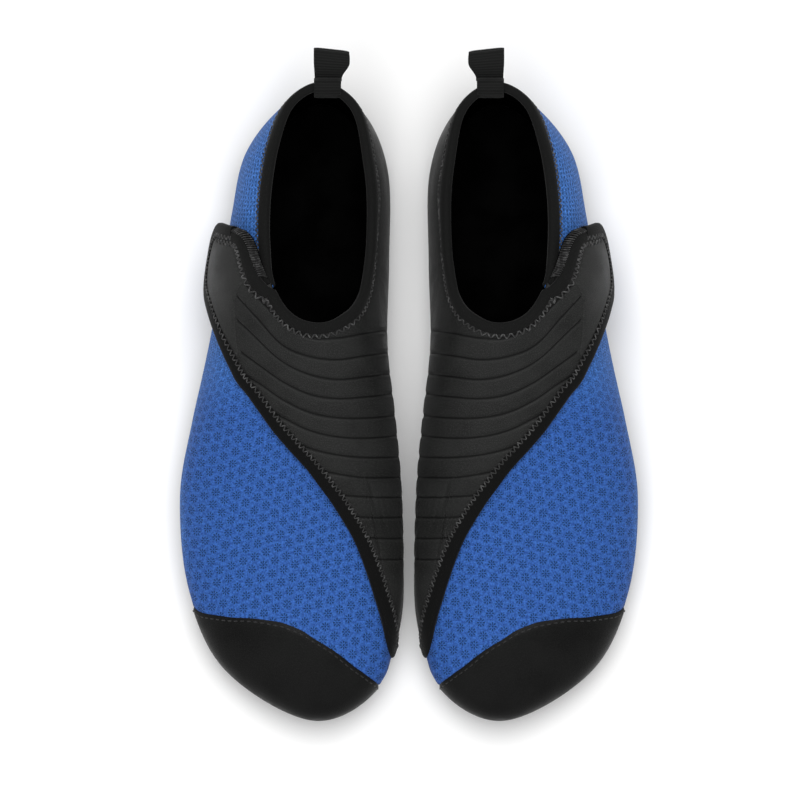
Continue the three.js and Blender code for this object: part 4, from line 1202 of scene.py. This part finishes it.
class BOOTS_OT_bindings(bpy.types.Operator):
    """Folded edge tape with its zigzag stitching, and the overlocked rear edge of the tab"""

    bl_idname = "water_boots.bindings"
    bl_label = "Bindings and Stitching"

    def execute(self, context):
        width, radius, pitch = size("binding_width"), size("thread_radius"), size("stitch_pitch")
        finishes = [tape_finish(), tape_finish(), thread_finish()]
        # the free edge: from the sole at the inner side of the toe, over the fold, round the tab's end
        table = [p for p in reversed(LOWER_EDGE)] + [p for p in TAB_UPPER_EDGE if p[0] < 3.42]
        edge = smoothed(table, 4)
        track = Track(edge, cover_inner, 1.1)
        form = track.strip(binding_profile(width + 1.3, width - 0.6, 0.0, OVERLAY, 0.9))
        form.join(track.zigzag(-width + ZIGZAG_OUT, -width - 1.7, OVERLAY + 0.62, pitch, radius))
        both("free_edge_binding", form, [tape_finish("Free edge knit", 0.26)] + finishes[1:], "",
             ["flap_lower_binding", "diagonal_binding"], blended=True)

        # the tab's rear edge and the front of the collar, to where the rear quarter starts
        rear = FLAP_REAR[(FLAP_REAR[:, 0] > 3.36) & (FLAP_REAR[:, 0] < TAB_AT_COLLAR - 0.15)]
        front = np.array([(s, 1.0) for s in np.linspace(TAB_AT_COLLAR + 0.35, SPLIT, 60)])
        curve = np.vstack([np.stack([rear[:, 0], np.minimum(rear[:, 1], 1)], axis=1), front])
        track = Track(curve, cover_inner, 1.0)
        form = track.strip(binding_profile(width, width - 0.6, 0.1, OVERLAY))
        form.join(track.zigzag(-width + ZIGZAG_OUT, -width - 1.8, OVERLAY + 0.4, pitch, radius * 1.15))
        # whip stitches over the rear rim of the tab
        last = float(np.interp(4.75, track.curve[:, 0], track.length))
        u = np.arange(0.6, last, 0.95)
        rows = [(0.7, OVERLAY + 0.1, 0.0), (1.1, OVERLAY + 0.3, 0.1), (1.7, OVERLAY * 0.9, 0.35),
                (2.3, OVERLAY * 0.45, 0.65), (2.7, -0.5, 0.85), (2.2, -1.5, 1.0)]
        form.join(tube_run(np.stack([track.at(u + f * 0.7, x, h) for x, h, f in rows], axis=1), radius * 0.75))
        both("front_collar_binding", form, finishes, "", ["flap_upper_binding"], blended=True)

        # the rest of the collar, round the heel and under the tab
        stations = np.linspace(SPLIT, COUNT + 5.05, 300)
        curve = np.stack([stations, np.ones_like(stations)], axis=1)

        def base(s, t):
            quarter = cover_inner(np.minimum(s, COUNT - HEEL_SEAM), np.minimum(t, 1.0))
            return np.where(s < COUNT - HEEL_SEAM, quarter, -OVERLAY)
        track = Track(curve, base, 1.0)
        form = track.strip(binding_profile(width, width - 0.6, 0.0, OVERLAY))
        form.join(track.zigzag(-width + 0.3, -width - 1.5, OVERLAY + 0.3, pitch, radius))
        both("collar_binding", form, finishes, "boot", ["collar_binding"])
        return {"FINISHED"}


def band(path, half_widths, thickness, along_x, tilt=0.0):
    """Webbing: a path of (y, z) points swept across X, with rounded edges."""
    path, n = np.asarray(path, float), len(path)
    ahead = unit(np.gradient(path, axis=0))
    normal = np.stack([ahead[:, 1], -ahead[:, 0]], axis=1)
    run = np.concatenate([[0], np.cumsum(np.linalg.norm(np.diff(path, axis=0), axis=1))])
    across = [-1 + k / 6 for k in range(13)]
    upper = [(w, 0.5 * (1 - 0.55 * abs(w) ** 8)) for w in across]
    profile = upper + [(-w, -h) for w, h in upper]
    points = np.zeros((n, len(profile), 3))
    rib = 1 + 0.12 * np.sin(run * 2 * math.pi / 1.15)
    for k, (w, h) in enumerate(profile):
        offset = h * thickness * rib
        points[:, k, 0] = along_x + w * half_widths
        points[:, k, 1] = path[:, 0] + normal[:, 0] * offset - tilt * w * half_widths
        points[:, k, 2] = path[:, 1] + normal[:, 1] * offset
    m = len(profile)
    across_cloth = np.broadcast_to([w * 6 for w, _ in profile], (n, m))
    cloth = np.stack([np.repeat(run[:, None], m, 1), across_cloth], axis=-1)
    form = Form()
    form.add(points, outward(swept_faces(n, m), points), 0, cloth)
    return form


class BOOTS_OT_heel_loops(bpy.types.Operator):
    """Webbing loop at the back of the heel, with its sewn ends inside and outside the collar"""

    bl_idname = "water_boots.heel_loops"
    bl_label = "Heel Loops"

    def execute(self, context):
        thick = size("webbing")
        heel = round_loop(COLLAR, 0.0)
        y0, z0 = heel[1], heel[2]
        # sewn ends: up the outside of the heel, over the collar's edge and down inside
        path = smoothed([(y0 + 0.5, z0 - 11), (y0 + 0.6, z0 - 8), (y0 + 1.4, z0 - 5), (y0 + 1.9, z0 - 2.4),
                         (y0 + 0.9, z0 + 1.2),
                         (y0 - 1.0, z0 + 2.4), (y0 - 3.2, z0 + 1.6), (y0 - 4.7, z0 - 1.2), (y0 - 5.3, z0 - 5),
                         (y0 - 5.6, z0 - 10)], 10)
        form = band(path, np.full(len(path), 5.75), thick, heel[0] + 1.6)
        rows = []
        for dz in (-3.4, -8.0):
            x = heel[0] + 1.6 + np.linspace(-4.8, 4.0, 5)
            y = np.interp(z0 + dz, path[:40, 1], path[:40, 0]) + thick / 2
            rows += [[(v + f * 1.3, y + h, z0 + dz) for f, h in
                      ((0, -0.1), (0.2, 0.15), (0.5, 0.2), (0.8, 0.15), (1, -0.1))] for v in x]
        form.join(tube_run(np.array(rows), 0.24))
        webbing = tape_finish("Heel webbing", factor=0.55, rib=1.15, rough=0.7, speck=0.25)
        finishes = [webbing, webbing, thread_finish()]
        both("loop_anchor", form, finishes, "boot", ["loop_anchor"])

        # the loop itself: out from the heel, round and back, a little fuller on its upper side
        tilt = math.radians(12)
        ring = smoothed([(-3.4, -1.1), (-1.2, -1.5), (2.6, -2.2), (6.2, -2.5), (8.1, -2.2),
                         (9.3, -0.9), (9.6, 0.6), (8.9, 2.0), (6.7, 2.9), (4.0, 2.9), (0.9, 2.2),
                         (-1.6, 1.3), (-3.4, 0.7)], 10)
        y = y0 + 4.6 + ring[:, 0] * math.cos(tilt) - ring[:, 1] * math.sin(tilt)
        z = z0 - 3.4 + ring[:, 0] * math.sin(tilt) + ring[:, 1] * math.cos(tilt)
        share = smooth(ring[:, 0], -2.5, 9.5)
        fuller = np.sin(1.95 * share)
        form = band(np.stack([y, z], axis=1), LOOP_HALF_WIDTH + 1.9 * fuller, thick,
                    heel[0] + 1.9 + 1.5 * fuller, 0.11 * share)
        for side in SIDES:
            obj = make_object(side + "_pull_loop_cloth", form, side, finishes)
            sign = 1 if side == "right" else -1
            x = sign * (heel[0] - BOOT_OFFSET) / 1000
            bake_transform(obj)
            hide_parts(side + "_pull_loop")
        return {"FINISHED"}


class BOOTS_OT_sole_units(bpy.types.Operator):
    """Rubber outsole with cross grooves, insole board and the dished sockliner"""

    bl_idname = "water_boots.sole_units"
    bl_label = "Sole Units"

    def execute(self, context):
        half = 170

        def half_round(first, last):
            stations = columns(first, last, 1.0, 1)
            return np.interp(np.linspace(0, 1, half + 1), np.linspace(0, 1, len(stations)), stations)
        around = np.concatenate([half_round(0, 10), half_round(10, COUNT)[1:-1]])
        n = len(around)
        p = round_loop(OUTLINE, around)
        ahead = unit(round_loop(OUTLINE, around + 1e-3) - round_loop(OUTLINE, around - 1e-3))

        def ring(inset, height):
            x, y = p[:, 0] - ahead[:, 1] * inset, p[:, 1] + ahead[:, 0] * inset
            return stack(x, y, height(inset, p[:, 1]) + toe_spring(p[:, 1]))

        def face(loop, steps, lift):
            """Straight across from the outer to the inner side, as a grid."""
            w = np.linspace(0, 1, steps + 1)
            k = np.arange(half + 1)
            a, b = loop[k][:, None], loop[(n - k) % n][:, None]
            grid = a + (b - a) * w[:, None]
            grid[..., 2] += lift(grid[..., 0], grid[..., 1]) * np.sin(np.pi * w) ** 0.25
            return grid

        def slab(rings, bottom, top, steps=14):
            """A solid through rings of (inset, height), from its underside up, closed at both ends."""
            loops = np.array([ring(i, h) for i, h in rings])
            form = Form()
            count = len(rings)
            k, r = np.meshgrid(np.arange(n), np.arange(count - 1))
            a = (r * n + k).ravel()
            b = (r * n + (k + 1) % n).ravel()
            quads = np.stack([b, a, a + n, b + n], axis=1)
            drop = np.linspace(0, 1, count)
            rub = np.repeat(np.exp(-drop * 4)[:, None], n, 1)
            extra = np.stack([np.zeros((count, n)), rub, np.zeros((count, n))], axis=-1)
            form.add(loops, quads, 0, loops[..., :2].copy(), extra)
            for grid, flip in ((face(loops[0], steps, bottom), False), (face(loops[-1], steps, top), True)):
                form.add(grid, grid_faces(*grid.shape[:2], flip=not flip), 0, grid[..., :2].copy())
            return form

        def tread(x, y):
            depth = size("tread_depth")
            groove = np.zeros_like(y)
            for centre in (-96, -82, -68, -54, -40, -26, 70, 85, 100):
                wave = centre + 1.6 * np.sin(x * 0.25)
                groove = np.maximum(groove, smooth(1.7 - np.abs(y - wave), 0.0, 0.8))
            return groove * depth

        def level(height):
            return lambda inset, y: np.full_like(y, float(height))

        def under(clearance):
            return lambda inset, y: widest_height(y) - toe_spring(y) - tuck(inset, y) - clearance
        form = slab([(6.0, level(0)), (4.6, level(0.25)), (3.4, level(1.1)), (2.7, level(2.4)),
                     (2.2, level(3.0)), (1.7, level(4.2)), (1.45, level(5.6)), (1.55, level(7.2)),
                     (1.9, under(0.9)), (2.6, under(0.6)), (3.8, under(0.6)),
                     (8.0, level(FEATHER_HEIGHT - 0.6))], tread, lambda x, y: 0 * x, 18)
        both("outsole", form, [rubber_finish()], "boot", ["outsole"])

        foot = FEATHER_HEIGHT + PANEL + 0.5
        liner = slab([(7.6, level(foot)), (6.9, level(foot + 0.3)), (6.3, level(foot + 1.6)),
                      (6.4, level(foot + 3.4)), (7.2, level(foot + 4.0)),
                      (8.2, level(foot + 3.6))], lambda x, y: 0 * x,
                     lambda x, y: -0.9 + 0.25 * np.sin(y * 0.05))
        both("sockliner", liner, [foam_finish()], "boot", ["sockliner"])
        for side in SIDES:
            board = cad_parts[side + "_insole_board"]
            for holder in board.material_slots:
                holder.link = "OBJECT"
                holder.material = foam_finish()
        return {"FINISHED"}


class BOOTS_OT_stage(bpy.types.Operator):
    """Pale floor, soft light and the camera straight above"""

    bl_idname = "water_boots.stage"
    bl_label = "Stage"

    def execute(self, context):
        scene = context.scene
        half = 4.0
        mesh = bpy.data.meshes.new("floor")
        corners = [(-half, -half, 0), (half, -half, 0), (half, half, 0), (-half, half, 0)]
        mesh.from_pydata(corners, [], [(0, 1, 2, 3)])
        floor = bpy.data.objects.new("floor", mesh)
        floor.location.z = -0.0004
        scene.collection.objects.link(floor)

        def build(t, sockets):
            speck = t.noise(in_mm(t), 0.02, 2.0)
            t.set(sockets["Base Color"], t.mix(speck, (0.9, 0.9, 0.9, 1), (0.93, 0.93, 0.93, 1)))
            sockets["Roughness"].default_value = 0.9
            sockets["Specular IOR Level"].default_value = 0.05
        mesh.materials.append(finish("Pale paper", build))
        floor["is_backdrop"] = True

        world = bpy.data.worlds.new("Soft studio")
        world.use_nodes = True
        world.node_tree.nodes["Background"].inputs[0].default_value = (1, 1, 1, 1)
        world.node_tree.nodes["Background"].inputs[1].default_value = 0.55
        scene.world = world
        lamps = (("overhead", (0.0, 0.4, 2.1), 1.3, 36.0), ("front", (-0.4, -1.5, 1.7), 1.0, 7.0))
        target = Vector((0.0, 0.0, 0.05))
        for name, place_at, side, power in lamps:
            light = bpy.data.lights.new(name, "AREA")
            light.shape = "SQUARE"
            light.size = side
            light.energy = power
            lamp = bpy.data.objects.new(name, light)
            lamp.location = place_at
            lamp.rotation_mode = "QUATERNION"
            lamp.rotation_quaternion = (target - Vector(place_at)).to_track_quat("-Z", "Y")
            scene.collection.objects.link(lamp)
        scene.view_settings.view_transform = "Standard"

        camera = bpy.data.objects.new("camera", bpy.data.cameras.new("camera"))
        lens, sensor, view_width, boot_middle = 1000, 36, 0.34, 0.045
        camera.data.lens = lens
        camera.data.sensor_width = sensor
        camera.data.clip_start = 0.1
        camera.data.clip_end = 50
        camera.location = (-0.0038, -0.0068, view_width * lens / sensor + boot_middle)
        scene.collection.objects.link(camera)
        scene.camera = camera
        return {"FINISHED"}


OPERATORS = (
    BOOTS_OT_mesh_panels, BOOTS_OT_ribbed_cover, BOOTS_OT_caps, BOOTS_OT_tab_layers, BOOTS_OT_bindings,
    BOOTS_OT_heel_loops, BOOTS_OT_sole_units, BOOTS_OT_stage,
)


class BOOTS_PT_panel(bpy.types.Panel):
    """The boots' sizes, colours and building steps"""

    bl_idname = "BOOTS_PT_panel"
    bl_label = "Water Boots"
    bl_space_type = "VIEW_3D"
    bl_region_type = "UI"
    bl_category = "Boots"

    def draw(self, context):
        layout = self.layout
        for group_of in (context.scene.boot_sizes, context.scene.boot_colours):
            for name in group_of.__annotations__:
                layout.prop(group_of, name)
        for operator in OPERATORS:
            layout.operator(operator.bl_idname)


CLASSES = (BootSizes, BootColours) + OPERATORS + (BOOTS_PT_panel,)


def register():
    for cls in CLASSES:
        bpy.utils.register_class(cls)
    bpy.types.Scene.boot_sizes = bpy.props.PointerProperty(type=BootSizes)
    bpy.types.Scene.boot_colours = bpy.props.PointerProperty(type=BootColours)


def unregister():
    del bpy.types.Scene.boot_colours
    del bpy.types.Scene.boot_sizes
    for cls in reversed(CLASSES):
        bpy.utils.unregister_class(cls)


def main():
    register()
    bpy.ops.water_boots.stage()
    bpy.ops.water_boots.sole_units()
    bpy.ops.water_boots.mesh_panels()
    bpy.ops.water_boots.ribbed_cover()
    bpy.ops.water_boots.caps()
    bpy.ops.water_boots.tab_layers()
    bpy.ops.water_boots.bindings()
    bpy.ops.water_boots.heel_loops()
    [[list(corner) for corner in box] for box in (CAD_BOX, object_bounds())]


if __name__ == "__main__":
    main()
